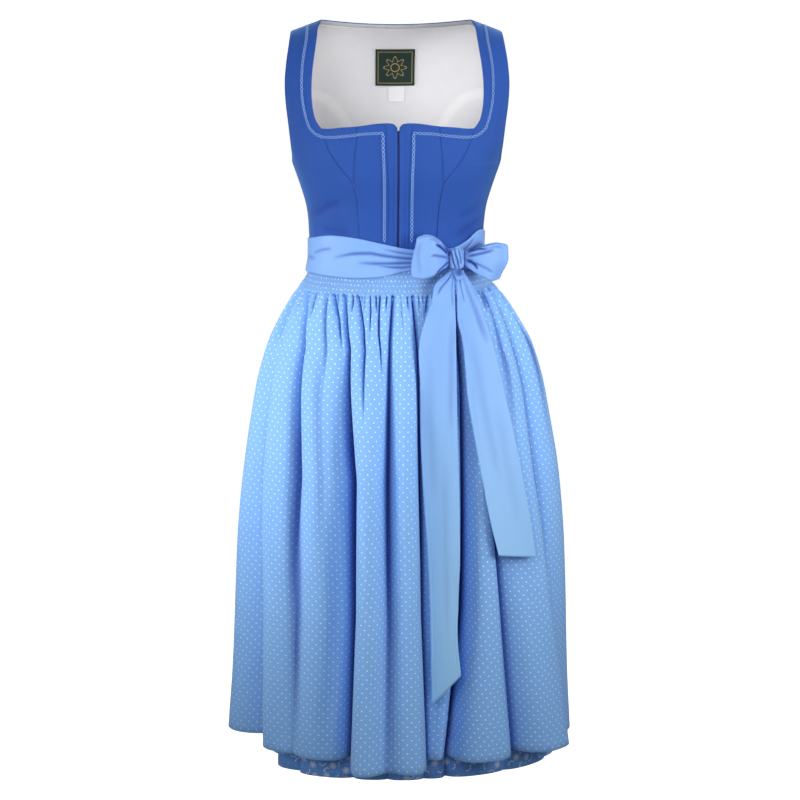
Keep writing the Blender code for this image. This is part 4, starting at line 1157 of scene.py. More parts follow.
def loop_path(rows, outer_x):
    """The ribbon's path out along the front, round the outer end and back: x, y, top, bottom."""
    inner, tip = rows[0, 0], rows[-1, 0]
    along = inner + (tip - inner) * np.linspace(0, 1, LOOP_COLUMNS) ** 0.9
    top, bottom, depth, swell = curve(rows if tip > inner else rows[::-1])(along)
    front = np.stack([along, depth - swell, top, bottom], -1)
    back = np.stack([along, depth + swell, top, bottom], -1)[::-1]
    turn = np.linspace(-np.pi / 2, np.pi / 2, TURN_COLUMNS)[1:-1]
    droop = LOOP_END_DROOP * np.cos(turn)
    _, end_top, end_bottom, end_depth, end_swell = rows[-1]
    round_end = np.stack([tip + (outer_x - tip) * np.cos(turn), end_depth + end_swell * np.sin(turn),
                          end_top + droop, end_bottom - droop], -1)
    return np.concatenate([front, round_end, back], 0)


def make_loop(node, rows, outer_x, pleats, upper_slant, lower_slant):
    rows = np.array(rows, float)
    path = loop_path(rows, outer_x)
    across = across_shares([0, 0.02, 0.045], 0.075, 30)[:, None]
    x, y, top, bottom = path.T[:, None, :]
    points = np.stack(np.broadcast_arrays(x, y, -mix(top, bottom, across)), -1)
    slant = upper_slant * (1 - smoothstep(0.0, 0.9, across)) + lower_slant * smoothstep(0.4, 1.0, across)
    points[..., 0] += smoothstep(rows[2, 0], outer_x, x) * slant
    lift = turned_edge(across, bottom - top)
    belly = np.sin(np.pi * across) * np.sin(np.pi * np.linspace(0, 1, len(path)))[None, :]
    lift = lift + LOOP_BELLY * belly
    lift, painted_shade = press(points[..., [0, 2]] * np.array([1.0, -1.0]), lift, pleats, LOOP_FULL)
    from_knot = abs(x - rows[0, 0])
    height, reach, number, phase = LOOP_PUCKERS
    lift = lift + height * np.exp(-from_knot / reach) * np.sin(across * number + phase)
    # Painted shadow on the loop where it leaves the knot.
    painted_shade = np.maximum(painted_shade, LOOP_SHADOW[0] * np.exp(-(from_knot / LOOP_SHADOW[1]) ** 2))
    make_ribbon(node, points, lift, painted_shade, ((rows[1, 0] + outer_x) / 2, rows[2, 3]))


def make_tail(node, rows, point_drop, folds):
    rows = np.array(rows, float)
    drops = np.concatenate([np.linspace(rows[0, 0], TAIL_FINE_END, TAIL_ROWS[0]),
                            np.linspace(TAIL_FINE_END, rows[-1, 0], TAIL_ROWS[1])[1:]])
    across = across_shares([0, 0.012, 0.03, 0.055], 0.09, 34)[None, :]
    left, right, y_left, y_right, swell = (value[:, None] for value in curve(rows)(drops))
    slant = mix(max(point_drop, 0.0), max(-point_drop, 0.0), across)
    low = np.clip((drops - rows[-2, 0]) / (rows[-1, 0] - rows[-2, 0]), 0.0, 1.0)[:, None]
    y = mix(y_left, y_right, across) - swell * np.sin(np.pi * across)
    points = np.stack(np.broadcast_arrays(mix(left, right, across), y, -(drops[:, None] + slant * low)), -1)
    place = np.stack(np.broadcast_arrays(across * TAIL_WIDTH, drops[:, None]), -1)
    lift, painted_shade = press(place, turned_edge(across, right - left, TAIL_TURNED_EDGE), folds, TAIL_FULL,
                          lambda line: line * np.array([TAIL_WIDTH, 1.0]))
    from_edge = np.minimum(across, 1 - across) * (right - left)
    inset, half_width, depth = TAIL_STITCH
    lift = lift - depth * np.exp(-((from_edge - inset) / half_width) ** 2)
    height, length, slant = TAIL_WAVES
    lift = lift + height * np.sin(drops[:, None] / length + across * slant) * np.sin(np.pi * across)
    make_ribbon(node, points, lift, painted_shade, (float(mix(left, right, 0.5).mean()), 0.0))


# Wrinkles of the knot: points over its front as (x, height) from its middle, half width, depth.
KNOT_WRINKLES = [
    ([(-9.5, 13), (-8.0, 4), (-6.0, -5), (-2.0, -15)], 1.3, -2.4),
    ([(-5.0, 15), (-3.0, 7), (0.5, -2), (3.0, -15)], 1.2, -2.2),
    ([(1.0, 15), (3.5, 8), (5.0, 0), (5.5, -9)], 1.2, -2.0),
    ([(6.0, 14), (8.5, 6), (9.5, -3)], 1.1, -1.6),
    ([(-3.5, 2), (-0.5, -6), (-0.5, -14)], 0.9, -1.2),
]


def make_knot():
    """The knot: a rounded roll of the sash with upright wrinkles."""
    select_only()
    bpy.ops.mesh.primitive_uv_sphere_add(segments=96, ring_count=64, radius=1)
    piece = new_piece("bow_knot_cloth")
    mesh = piece.data
    ball = read(mesh.vertices, "co", np.float32, 3).astype(float)
    x, y, z = ball.T
    box = abs(ball).max(-1) ** KNOT_ROUNDNESS
    waist = 1 - KNOT_WAIST * (1 - z * z)
    width, depth, height = KNOT_SIZE
    place = np.stack([x / box * waist * width / 2, y / box * depth / 2, z / box * height / 2], -1)
    away = np.stack([x, y, 0.35 * z], -1)
    away = away / np.maximum(np.linalg.norm(away, axis=-1, keepdims=True), 1e-6)
    lift, painted_shade = press(place[:, [0, 2]], np.zeros(len(place)), KNOT_WRINKLES, KNOT_FULL)
    place = place + away * lift[:, None] + np.array([KNOT_CENTRE[0], KNOT_CENTRE[1], -KNOT_CENTRE[2]])
    write(mesh.vertices, "co", place * MM)
    flat = (place - place.mean(0))[:, [0, 2]]
    set_cloth_map(mesh, flat[read(mesh.loops, "vertex_index", np.int32)])
    mesh.update()
    smooth(mesh)
    mesh.materials.append(SATIN)
    set_mark(mesh, "fold_shade", painted_shade)
    finish_piece(piece, "sash_satin", "bow_knot")


def make_under_loop():
    left, right = UNDER_LOOP_X
    top, bottom = UNDER_LOOP_DROPS
    path = curve([(top, -101), (mix(top, bottom, 0.5), -109.5), (bottom, -111)])
    drop = np.linspace(top, bottom, 18)[:, None]
    u = np.linspace(0, 1, 22)[None, :]
    y = path(drop[:, 0])[:, None] - 1.5 * np.sin(np.pi * u) - 0.8 * np.exp(-((u - 0.6) / 0.12) ** 2)
    share = (drop - top) / (bottom - top)
    x = mix(left, right, 0.5 + (u - 0.5) * (1 - 0.45 * share ** 3))
    drop = drop - 1.8 * share ** 2 * abs(2 * u - 1) ** 2
    # Painted shade: the under loop is darkened across its middle and towards its top, under the knot; it
    # gets no crease lift.
    shaded = 0.9 * (1 - smoothstep(0.35, 0.9, share)) * np.sin(np.pi * u) ** 0.7
    make_ribbon("bow_under_loop", np.stack(np.broadcast_arrays(x, y, -drop), -1), 0 * shaded, shaded,
                ((left + right) / 2, 0.0))


# ---------------------------------------------------------------- braid, labels and zip
BRAID_REACH = 1.65          # each cord of the braid swings this far to either side
BRAID_RISE = 0.55           # and this far over and under the other
BRAID_CORD_RADIUS = 0.44
BRAID_REPEAT = 12.0
BRAID_GAP = 0.9
BRAID_STEP = 0.72
LABEL_WALL, LABEL_DEPTH = 0.7, BODICE_WALL + LINING_GAP + 2.0
ZIP_TOP_DROP, ZIP_HALF_WIDTH = 147.0, 9.0
COIL_TURNS, COIL_PITCH, COIL_RADIUS = 150, 1.2, 0.22
SLIDER_SIZE = (0.0024, 0.0026, 0.0062)


def walked_along(path):
    return np.concatenate([[0], np.cumsum(np.linalg.norm(np.diff(path, axis=0), axis=-1))])


def rounded_path(path, step):
    """Evenly spaced points along a path (distance from centre, drop), with its corner rounded off."""
    path = np.array(path, float)
    legs = walked_along(path)
    walked = np.arange(0, legs[-1], step)
    line = np.stack([np.interp(walked, legs, path[:, i]) for i in (0, 1)], -1)
    soft = np.pad(line, [(6, 6), (0, 0)], mode="reflect", reflect_type="odd")
    kernel = np.hanning(15)[1:-1]
    kernel = kernel / kernel.sum()
    return np.stack([np.convolve(soft[:, i], kernel, mode="valid") for i in (0, 1)], -1)


def cord(name, points, radius, material):
    """A round cord through a line of points in mm, as a mesh."""
    data = bpy.data.curves.new(name, "CURVE")
    data.dimensions = "3D"
    spline = data.splines.new("POLY")
    spline.points.add(len(points) - 1)
    write(spline.points, "co", np.concatenate([points * MM, np.ones((len(points), 1))], -1))
    data.bevel_depth = radius * MM
    data.bevel_resolution = 1
    data.use_fill_caps = True
    piece = bpy.data.objects.new(name, data)
    bpy.context.scene.collection.objects.link(piece)
    select_only(piece)
    bpy.ops.object.convert(target="MESH")
    piece = bpy.context.object
    piece.data.materials.clear()
    piece.data.materials.append(material)
    smooth(piece.data)
    return piece


def make_braid(side, word):
    """Two cords that cross over and under each other all along the neckline and the placket."""
    line = rounded_path(BRAID_PATH, BRAID_STEP)
    angle = torso_angle(side * line[:, 0], line[:, 1])
    on_body = torso_point(angle, line[:, 1])
    normal = torso_normal(angle, line[:, 1])
    along = np.gradient(on_body, axis=0)
    across = np.cross(normal, along / np.linalg.norm(along, axis=-1, keepdims=True))
    cords = []
    for start in (0.0, math.pi):
        turn = 2 * np.pi * walked_along(on_body) / BRAID_REPEAT + start
        lift = BRAID_GAP + BRAID_CORD_RADIUS + BRAID_RISE * np.cos(2 * turn + start)
        points = on_body + across * (BRAID_REACH * np.sin(turn))[:, None] + normal * lift[:, None]
        cords.append(cord("braid_cord", points, BRAID_CORD_RADIUS, BRAID))
    select_only(*cords)
    bpy.ops.object.join()
    finish_piece(new_piece("braid_%s_cords" % word), "braid", "braid_" + word)


def make_label(node, box, material, slot):
    left, right, top, bottom = box
    drop, x = np.broadcast_arrays(np.linspace(top, bottom, 30)[:, None],
                                  np.linspace(left, right, 30)[None, :])
    angle = torso_angle(x, drop, True)
    lift = -LABEL_DEPTH - 0.35 * np.sin(np.pi * (x - left) / (right - left))
    points = torso_point(angle, drop) + torso_normal(angle, drop) * lift[..., None]
    centred = np.stack([x - (left + right) / 2, (top + bottom) / 2 - drop], -1)
    piece = wall(sheet(node + "_cloth", points, centred, material), LABEL_WALL)
    finish_cloth(piece, slot, node, points)


def make_zip():
    """The closed zip's tape, its coil in the slot between the plackets, and the small slider."""
    drop, x = np.broadcast_arrays(np.linspace(ZIP_TOP_DROP, WAIST_DROP - 4, 60)[:, None],
                                  np.linspace(-ZIP_HALF_WIDTH, ZIP_HALF_WIDTH, 13)[None, :])
    angle = torso_angle(x, drop)
    points = torso_point(angle, drop) - torso_normal(angle, drop) * (BODICE_WALL + 0.5)
    tape = wall(sheet("zip_tape_cloth", points, measured_grid(points), ZIP_TAPE), 0.9)
    finish_cloth(tape, "zip_tape", "zip_tape", points)

    turns = np.arange(0, COIL_TURNS, 0.125)
    turn = 2 * np.pi * turns
    coil = torso_point(0 * turns, ZIP_TOP_DROP + 2.0 + turns * COIL_PITCH)
    coil = coil + np.stack([0.75 * np.cos(turn), 0.9 + 0.55 * np.sin(turn), 0 * turns], -1)
    finish_piece(cord("zip_coil", coil, COIL_RADIUS, ZIP_TAPE), "zip_tape")

    select_only()
    front = torso_point(0.0, ZIP_TOP_DROP - 2.0)[1] * MM
    bpy.ops.mesh.primitive_cube_add(size=1, location=(0, front - 0.0002, -0.1455), scale=SLIDER_SIZE)
    slider = new_piece("zip_slider")
    bpy.ops.object.mode_set(mode="EDIT")
    bpy.ops.mesh.select_all(action="SELECT")
    bpy.ops.mesh.bevel(offset=0.0005, segments=3, affect="EDGES")
    bpy.ops.object.mode_set(mode="OBJECT")
    bpy.ops.object.transform_apply(location=True, rotation=True, scale=True)
    slider.data.materials.append(ZIP_METAL)
    bpy.ops.object.shade_smooth_by_angle(angle=math.radians(40))
    finish_piece(slider, "zip_tape")


# ---------------------------------------------------------------- finishes
def add_node(tree, kind, inputs, **settings):
    """Adds a node, sets its settings, and links or sets its inputs."""
    made = tree.nodes.new("ShaderNode" + kind)
    for name, value in settings.items():
        setattr(made, name, value)
    for key, value in inputs.items():
        if isinstance(value, Value):
            tree.links.new(value.socket, made.inputs[key])
        else:
            made.inputs[key].default_value = value
    return made


def math_node(operation, swapped=False):
    """An operation between values and numbers, worked out by a node of its own."""
    def made(*terms):
        terms = terms[::-1] if swapped else terms
        tree = next(term.tree for term in terms if isinstance(term, Value))
        return Value(tree, add_node(tree, "Math", dict(enumerate(terms)), operation=operation).outputs[0])
    return made


class Value:
    """What a node works out at each place of a finish: a number, a place or a colour."""

    def __init__(self, tree, socket):
        self.tree, self.socket = tree, socket

    __add__, __mul__, __sub__ = math_node("ADD"), math_node("MULTIPLY"), math_node("SUBTRACT")
    __rsub__, __truediv__ = math_node("SUBTRACT", swapped=True), math_node("DIVIDE")
    __pow__, __abs__, __gt__ = math_node("POWER"), math_node("ABSOLUTE"), math_node("GREATER_THAN")

    def below(self, limit, softness):
        """1 where the value is under the limit, 0 where it is over it, and soft between."""
        return fade(self, limit - softness, limit + softness, 1.0, 0.0)


sine, cosine, larger, smaller, bearing_of, square_root, fraction = (math_node(operation) for operation in (
    "SINE", "COSINE", "MAXIMUM", "MINIMUM", "ARCTAN2", "SQRT", "FRACT"))


def fade(value, start, end, low=0.0, high=1.0):
    made = add_node(value.tree, "MapRange", {"Value": value, "From Min": start, "From Max": end,
                                             "To Min": low, "To Max": high})
    return Value(value.tree, made.outputs[0])


def length_of(x, y):
    return square_root(x * x + y * y)


def waves(value, pitch):
    return sine(value * (2 * math.pi / pitch))


class Finish:
    """A finish in the making: its nodes, and the cloth's own place in mm across and down."""

    def __init__(self, name, roughness, sheen=0.0, sheen_tint=(1, 1, 1, 1), sheen_roughness=0.5,
                 specular=0.3):
        self.material = bpy.data.materials.new(name)
        self.material.use_nodes = True
        self.tree = self.material.node_tree
        self.shader = self.tree.nodes["Principled BSDF"]
        self.set({"Roughness": roughness, "Specular IOR Level": specular, "Sheen Weight": sheen,
                  "Sheen Tint": sheen_tint, "Sheen Roughness": sheen_roughness})

    def set(self, inputs):
        for name, value in inputs.items():
            self.shader.inputs[name].default_value = value

    def node(self, kind, output, inputs=None, **settings):
        return Value(self.tree, add_node(self.tree, kind, inputs or {}, **settings).outputs[output])

    def cloth(self):
        """The place on the cloth in mm, and its two parts: across and down."""
        place = self.node("UVMap", 0, uv_map="cloth")
        place = self.node("VectorMath", 0, {0: place, 3: 1 / MM}, operation="SCALE")
        return (place, *self.parts(place))

    def parts(self, place):
        split = add_node(self.tree, "SeparateXYZ", {0: place})
        return [Value(self.tree, split.outputs[i]) for i in (0, 1)]

    def mark(self, name):
        return self.node("Attribute", "Fac", attribute_name=name)

    def noise(self, place, scale, detail=3.0):
        return self.node("TexNoise", 0, {"Vector": place, "Scale": scale, "Detail": detail,
                                         "Roughness": 0.5})

    def on_object(self, scale):
        """Noise that is fixed to the piece itself."""
        return self.noise(self.node("TexCoord", "Object"), scale)

    def mix(self, factor, a, b, blend="MIX"):
        """Between two colours, each a value or three numbers."""
        a, b = (item if isinstance(item, Value) else (*item, 1.0) for item in (a, b))
        return self.node("Mix", 2, {0: factor, 6: a, 7: b}, data_type="RGBA", blend_type=blend)

    def painted_fold_shade(self, shade, strength):
        """Painted shade: the colour is darkened towards a deep blue inside folds and creases, where only
        the cloth itself lights it.
        """
        deep = self.mix(1.0, shade, FOLD_SHADE_BLUE, "MULTIPLY")
        return self.mix(self.mark("fold_shade") * strength, shade, deep)

    def weave(self, u, v, pitch):
        """Height of a fine plain weave: over and under threads."""
        return waves(u, 2 * pitch) * waves(v, 2 * pitch)

    def spots(self, place, pitch, jitter):
        """Place from the nearest of many scattered spots, in mm, and two random values for that spot."""
        cell = add_node(self.tree, "TexVoronoi", {"Vector": place, "Scale": 1.0 / pitch,
                                                  "Randomness": jitter},
                        voronoi_dimensions="2D", feature="F1")
        spot, chance = (Value(self.tree, cell.outputs[name]) for name in ("Position", "Color"))
        away = self.node("VectorMath", 0, {0: place, 1: spot}, operation="SUBTRACT")
        split = add_node(self.tree, "SeparateColor", {0: chance})
        return (*self.parts(away), *(Value(self.tree, split.outputs[i]) for i in (0, 1)))

    def done(self, shade, height=None, distance=0.0, strength=1.0):
        """Puts the colour, and a bump of this height, on the shader."""
        self.tree.links.new(shade.socket, self.shader.inputs["Base Color"])
        if height is not None:
            bump = add_node(self.tree, "Bump", {"Height": height, "Distance": distance,
                                                "Strength": strength})
            self.tree.links.new(bump.outputs[0], self.shader.inputs["Normal"])
        return self.material


# Colours as red, green and blue. Where there are two, the cloth wanders slowly between them.
# Painted shade: the deep blue that folds and creases are darkened towards.
FOLD_SHADE_BLUE = (0.035, 0.09, 0.40)
TWILL_BLUES = (0.020, 0.083, 0.385), (0.026, 0.096, 0.425)
# The seams' blue is painted shade: the shadow in a seam's groove and between its stitches.
TWILL_FLECK, SEAM_SHADE_BLUE = (0.019, 0.076, 0.375), (0.006, 0.030, 0.20)
LINING_WHITES, DOUBLED_WHITE = ((0.78, 0.775, 0.80), (0.83, 0.825, 0.845)), (0.95, 0.95, 0.96)
CARE_LABEL_WHITES = (0.86, 0.86, 0.87), (0.90, 0.90, 0.91)
# The apron's blues are painted darker above and lighter below, a painted gradient of the lamps' light.
APRON_BLUES_PAINTED_DARKER_ABOVE = (0.215, 0.395, 0.79), (0.24, 0.425, 0.82)
APRON_BLUES_PAINTED_LIGHTER_BELOW = (0.235, 0.495, 0.96), (0.262, 0.53, 0.99)
# The shirred blue is painted shade in the small gathers of the shirring.
SHIRRING_SHADE_BLUE, DOT_WHITE = (0.17, 0.35, 0.70), (0.74, 0.90, 1.0)
SKIRT_BLUES = (0.125, 0.33, 0.84), (0.147, 0.365, 0.88)
SPRIG_WHITE, SPECK_WHITE = (0.74, 0.88, 1.0), (0.68, 0.82, 1.0)
DAISY_WHITES, DAISY_HEART = ((0.86, 0.95, 1.0), (0.92, 0.94, 1.0)), (0.42, 0.55, 0.86)
# The satin's blue below is painted light: the ribbon is painted lighter further down its length.
SATIN_BLUES, SATIN_PAINTED_LIGHT_BELOW = ((0.206, 0.408, 0.86), (0.228, 0.44, 0.885)), (0.35, 0.66, 1.0)
LABEL_GREENS, LABEL_GOLD = ((0.006, 0.022, 0.018), (0.012, 0.036, 0.03)), (0.40, 0.29, 0.11)
BRAID_BLUES = (0.22, 0.42, 0.80), (0.37, 0.58, 0.93)
ZIP_TAPE_BLUES = (0.008, 0.02, 0.12), (0.016, 0.035, 0.17)
ZIP_METAL_GREYS = (0.42, 0.43, 0.45), (0.55, 0.56, 0.58)
FLOOR_WHITES = (0.90, 0.90, 0.90), (0.92, 0.92, 0.92)
TWILL_SHEEN, PALE_SHEEN, LABEL_SHEEN = (0.28, 0.55, 1, 1), (0.8, 0.9, 1, 1), (0.6, 0.8, 0.7, 1)
# Threads and patterns, in mm of cloth.
TWILL_RIB, TWILL_SLOPE, STITCH_LENGTH = 0.9, 1.7, 3.0
SATIN_RIB, SATIN_SLOPE = 0.6, 0.6
LINING_WEAVE, LABEL_WEAVE_PITCH = 0.45, 0.5
GATHER_RIB = 3.1
APRON_PAINTED_LIGHT_FADE, SATIN_PAINTED_LIGHT_FADE = (-60.0, -420.0), (-80.0, -560.0)     # where the painted light gradients of the apron and the satin run, down the cloth
STAR_POINTS, STAR_RADIUS, STAR_REACH, RING_RADIUS = 8.0, 13.0, 3.4, 6.0
LABEL_BORDER = (24.6, 23.6)                 # from the label's middle, across and down
SPECK_PITCH, SPECK_RADIUS = 6.4, 0.55
COTTON_WEAVE, COTTON_GRAIN = 0.4, 0.8
DOT_PITCH = 12.5
DOT_RADIUS = 1.04
PRINT_PITCH, DAISY_SIZE, DAISY_PETALS, FERN_RADIUS = 22.0, 5.9, 10, 4.8


def make_twill():
    look = Finish("bodice_twill", 0.66, 0.8, TWILL_SHEEN, 0.4, 0.2)
    place, u, v = look.cloth()
    fine = look.noise(place, 1.2, 2.0)
    shade = look.mix(look.noise(place, 0.03), *TWILL_BLUES)
    shade = look.mix(fine * 0.5, shade, TWILL_FLECK)
    stitch = waves(v, STITCH_LENGTH) > -0.1
    # Painted shade: a dotted dark line along the seams and stitched lines stands for the shadow in the
    # groove and between the stitches.
    seam = look.mark("from_seam").below(0.58, 0.26) * (stitch * 0.58 + 0.38)
    shade = look.mix(seam, look.painted_fold_shade(shade, 0.4), SEAM_SHADE_BLUE)
    return look.done(shade, waves(u + v * TWILL_SLOPE, TWILL_RIB) * 0.5 + fine, 0.00012, 0.5)


def make_lining():
    look = Finish("lining_white", 0.8, 0.15)
    place, u, v = look.cloth()
    shade = look.mix(look.noise(place, 0.05), *LINING_WHITES)
    shade = look.mix(look.mark("doubled") * 0.5, shade, DOUBLED_WHITE)
    return look.done(shade, look.weave(u, v, LINING_WEAVE) + look.noise(place, 0.9), 0.0001, 0.5)


def make_care_finish():
    look = Finish("care_label_white", 0.55)
    grain = look.noise(look.cloth()[0], 0.8)
    return look.done(look.mix(grain, *CARE_LABEL_WHITES), grain, 0.00005, 0.4)


def dots(u, v, stretch, shirred, shift):
    """A lattice of round dots, which stay round where the cloth is gathered."""
    across, down = ((fraction(value / DOT_PITCH + shift) - 0.5) * DOT_PITCH for value in (u, v))
    distance = length_of(across * stretch, down) * (shirred * 0.38 + 1.0)
    return fade(distance, DOT_RADIUS - 0.15, DOT_RADIUS + 0.25, 1.0, 0.0)


def make_dotted():
    look = Finish("apron_dotted", 0.7, 0.12, PALE_SHEEN, 0.45, 0.2)
    place, u, v = look.cloth()
    stretch, shirred = look.mark("shown_width"), look.mark("shirred")
    cloud = look.noise(place, 0.02)
    # Painted light and shade: the apron's ground is painted darker near its top and lighter further down.
    painted_darker_top, painted_lighter_below = look.mix(cloud, *APRON_BLUES_PAINTED_DARKER_ABOVE), look.mix(cloud, *APRON_BLUES_PAINTED_LIGHTER_BELOW)
    ground = look.mix(fade(v, *APRON_PAINTED_LIGHT_FADE), painted_darker_top, painted_lighter_below)
    # Painted shade: the shirred band is darkened for the shadows of its small gathers.
    ground = look.mix(shirred * 0.55, ground, SHIRRING_SHADE_BLUE)
    pulled = (look.noise(place, 0.22, 1.0) - 0.5) * shirred
    first, second = (dots(pulled * 9.0 + u, pulled * -6.0 + v, stretch, shirred, shift)
                     for shift in (0.0, 0.5))
    shade = look.painted_fold_shade(look.mix(larger(first, second), ground, DOT_WHITE), 0.92)
    height = waves(u, GATHER_RIB) * shirred * 2.5 + (
        look.weave(u, v, COTTON_WEAVE) + look.noise(place, COTTON_GRAIN))
    return look.done(shade, height, 0.0001, 0.45)


def daisies(look, place, pitch, size, petals):
    """Petals, hearts and a random value of scattered daisies."""
    x, y, start, chance = look.spots(place, pitch, 0.75)
    r = length_of(x, y)
    narrow = (cosine((bearing_of(y, x) + start * 3.0) * float(petals)) * 0.5 + 0.5) ** 1.8
    petal = (r - (narrow * (0.80 * size) + 0.20 * size)).below(0.0, 0.15)
    return petal, r.below(0.16 * size, 0.12), chance


def ferns(look, place, pitch, radius):
    """Curved stems with small leaves on both sides."""
    x, y, start, _ = look.spots(place, pitch, 0.9)
    bearing = bearing_of(y, x)
    leaf = abs(sine(bearing * (radius * 0.95))) ** 4.0
    line = (abs(length_of(x, y) - radius) - (leaf * 1.35 + 0.14)).below(0.0, 0.12)
    return line * (sine(bearing + start * 6.0) > 0.25)


def make_printed():
    look = Finish("skirt_floral_print", 0.72, 0.15, PALE_SHEEN, 0.45, 0.2)
    place, u, v = look.cloth()
    flat = look.node("CombineXYZ", 0, {0: u, 1: v})
    between, moved = (look.node("VectorMath", 0, {0: flat, 1: shift}, operation="ADD")
                      for shift in ((11.0, 11.0, 0), (7.3, 3.1, 0)))
    shade = look.mix(look.noise(place, 0.03), *SKIRT_BLUES)
    shade = look.mix(ferns(look, between, PRINT_PITCH, FERN_RADIUS) * 0.9, shade, SPRIG_WHITE)
    specks = length_of(*look.spots(moved, SPECK_PITCH, 0.8)[:2]).below(SPECK_RADIUS, 0.15)
    shade = look.mix(specks * 0.75, shade, SPECK_WHITE)
    petal, heart, chance = daisies(look, flat, PRINT_PITCH, DAISY_SIZE, DAISY_PETALS)
    shade = look.mix(petal, shade, look.mix(chance, *DAISY_WHITES))
    shade = look.painted_fold_shade(look.mix(heart, shade, DAISY_HEART), 0.6)
    height = look.weave(u, v, COTTON_WEAVE) + look.noise(place, COTTON_GRAIN)
    return look.done(shade, height, 0.0001, 0.45)


def make_satin():
    look = Finish("sash_satin", 0.48, 0.3, PALE_SHEEN, 0.35, 0.35)
    place, u, v = look.cloth()
    shade = look.mix(look.noise(place, 0.04), *SATIN_BLUES)
    # Painted light: the satin is painted lighter further down its length, which shows on the tails.
    shade = look.mix(fade(v, *SATIN_PAINTED_LIGHT_FADE), shade, SATIN_PAINTED_LIGHT_BELOW)
    height = waves(u + v * SATIN_SLOPE, SATIN_RIB) * 0.4 + look.noise(place, 1.1)
    return look.done(look.painted_fold_shade(shade, 0.85), height, 0.00008, 0.45)


def make_label_weave():
    """Dark green woven label with a gold border and a plain star."""
    look = Finish("label_weave", 0.6, 0.15, LABEL_SHEEN, 0.5, 0.3)
    place, u, v = look.cloth()
    r = length_of(u, v)
    outline = cosine(bearing_of(v, u) * STAR_POINTS) * STAR_REACH + STAR_RADIUS
    star = abs(r - outline).below(0.8, 0.2)
    ring = abs(r - RING_RADIUS).below(0.7, 0.2)
    border = abs(smaller(LABEL_BORDER[0] - abs(u), LABEL_BORDER[1] - abs(v))).below(0.45, 0.15)
    gold = larger(larger(star, ring), border)
    shade = look.mix(gold, look.mix(look.noise(place, 0.6), *LABEL_GREENS), LABEL_GOLD)
    return look.done(shade, look.weave(u, v, LABEL_WEAVE_PITCH) + gold * 1.5, 0.0001, 0.6)


def make_grained(look, scale, colours, distance=None, strength=1.0):
    """A finish whose fine grain tints it, and roughens it where a distance is given."""
    grain = look.on_object(scale)
    return look.done(look.mix(grain, *colours), None if distance is None else grain, distance, strength)


def make_zip_metal():
    look = Finish("zip_metal", 0.35)
    look.set({"Metallic": 1.0})
    return make_grained(look, 2500.0, ZIP_METAL_GREYS)


def make_floor_finish():
    look = Finish("studio_floor", 0.9, specular=0.0)
    look.set({"Emission Color": (1, 1, 1, 1), "Emission Strength": 0.72})
    return make_grained(look, 3.0, FLOOR_WHITES)


# ---------------------------------------------------------------- studio
FLOOR_SIZE = 900
WORLD_LOW, WORLD_HIGH = 0.03, 0.42
STUDIO_LAMPS = [  # name, place, aim, size, power, spread in degrees
    ("key", (-0.30, -1.38, 0.05), (0.0, 0.0, -0.12), 0.8, 3.05, 110),
    ("left_side", (-1.20, -0.42, -0.46), (0.0, 0.0, -0.48), 0.6, 1.55, 60),
    ("right_side", (1.05, -0.85, -0.25), (0.0, 0.0, -0.32), 0.6, 2.7, 90),
    ("neck", (0.70, -0.85, 0.80), (-0.05, 0.10, -0.08), 0.4, 2.15, 180),
    ("back", (0.3, 2.0, 0.4), (0.0, 0.0, -0.4), 1.0, 15.0, 180),
]
CAMERA_PLACE = (-0.0848, -3.2389, 0.0495)
CAMERA_DOWN, CAMERA_TURN = 10.34, -1.5      # degrees
CAMERA_LENS, CAMERA_SHIFT = 102.735, 0.00475


def make_floor():
    select_only()
    bpy.ops.mesh.primitive_plane_add(size=FLOOR_SIZE, location=(0, 0, -FLOOR_DROP * MM))
    floor = bpy.context.object
    floor.name = "studio_floor"
    floor.data.materials.append(make_floor_finish())
    floor.visible_diffuse = False       # the floor shows, but throws no light up into the skirt
    floor.visible_glossy = False


def make_world():
    """White for the camera, and a soft light that is stronger from above."""
    world = bpy.data.worlds.new("studio")
    bpy.context.scene.world = world
    world.use_nodes = True
    tree = world.node_tree
    around = Value(tree, add_node(tree, "TexCoord", {}).outputs["Generated"])
    height = Value(tree, add_node(tree, "SeparateXYZ", {0: around}).outputs[2])
    seen = Value(tree, add_node(tree, "LightPath", {}).outputs["Is Camera Ray"])
    background = tree.nodes["Background"]
    background.inputs["Color"].default_value = (1, 1, 1, 1)
    strength = larger(fade(height, -1.0, 1.0, WORLD_LOW, WORLD_HIGH), seen)
    tree.links.new(strength.socket, background.inputs["Strength"])


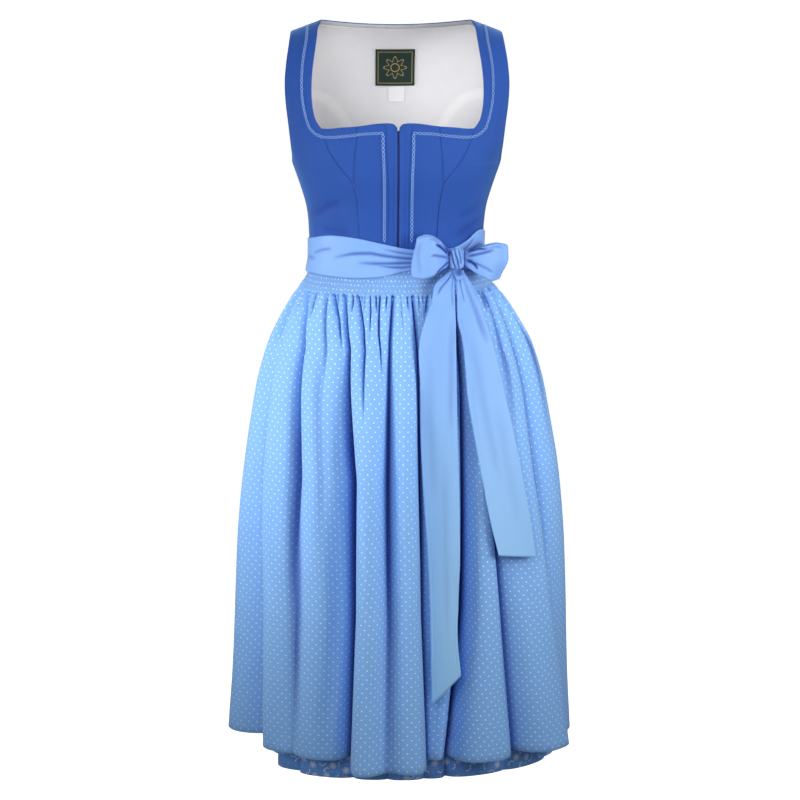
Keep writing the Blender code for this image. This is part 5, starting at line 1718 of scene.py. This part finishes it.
def make_lamp(name, place, aim, size, power, spread):
    data = bpy.data.lights.new(name, "AREA")
    data.shape = "DISK"
    data.size = size
    data.energy = power
    data.spread = math.radians(spread)
    lamp = bpy.data.objects.new(name, data)
    bpy.context.scene.collection.objects.link(lamp)
    lamp.location = place
    away = np.array(aim) - np.array(place)
    lamp.rotation_euler = (math.acos(-away[2] / np.linalg.norm(away)), 0.0,
                           math.atan2(away[1], away[0]) - math.pi / 2)


def make_camera():
    data = bpy.data.cameras.new("front")
    camera = bpy.data.objects.new("front", data)
    bpy.context.scene.collection.objects.link(camera)
    camera.location = CAMERA_PLACE
    camera.rotation_euler = (math.radians(90 - CAMERA_DOWN), 0.0, math.radians(CAMERA_TURN))
    data.sensor_width = 36.0
    data.lens = CAMERA_LENS
    data.shift_x = CAMERA_SHIFT
    data.clip_end = 2000.0
    bpy.context.scene.camera = camera


# ---------------------------------------------------------------- making the dress
make_camera()
make_floor()
make_world()
for LAMP in STUDIO_LAMPS:
    make_lamp(*LAMP)
bpy.context.scene.view_settings.view_transform = "Standard"
TWILL = make_twill()
LINING = make_lining()
CARE_WHITE = make_care_finish()
DOTTED = make_dotted()
PRINTED = make_printed()
SATIN = make_satin()
BRAID = make_grained(Finish("braid_thread", 0.6, 0.3, PALE_SHEEN, 0.4, 0.3), 900.0, BRAID_BLUES,
                     0.00025, 0.7)
LABEL_WEAVE = make_label_weave()
ZIP_TAPE = make_grained(Finish("zip_tape", 0.65, 0.1), 1400.0, ZIP_TAPE_BLUES, 0.0001, 0.6)
ZIP_METAL = make_zip_metal()
for SIDE, WORD in ((1, "left"), (-1, "right")):
    make_front(SIDE, WORD)
    make_braid(SIDE, WORD)
make_back()
make_label("label", LABEL_BOX, LABEL_WEAVE, "label_weave")
make_label("care_label", CARE_LABEL_BOX, CARE_WHITE, "lining_white")
make_zip()
make_skirts()
make_sash()
make_knot()
make_loop("bow_loop_right", RIGHT_LOOP, 18.0, RIGHT_LOOP_PLEATS, 7.0, 0.0)
make_loop("bow_loop_left", LEFT_LOOP, 152.5, LEFT_LOOP_PLEATS, 1.0, -9.0)
make_tail("bow_tail_right", RIGHT_TAIL, RIGHT_TAIL_POINT, RIGHT_TAIL_FOLDS)
make_tail("bow_tail_left", LEFT_TAIL, LEFT_TAIL_POINT, LEFT_TAIL_FOLDS)
make_under_loop()
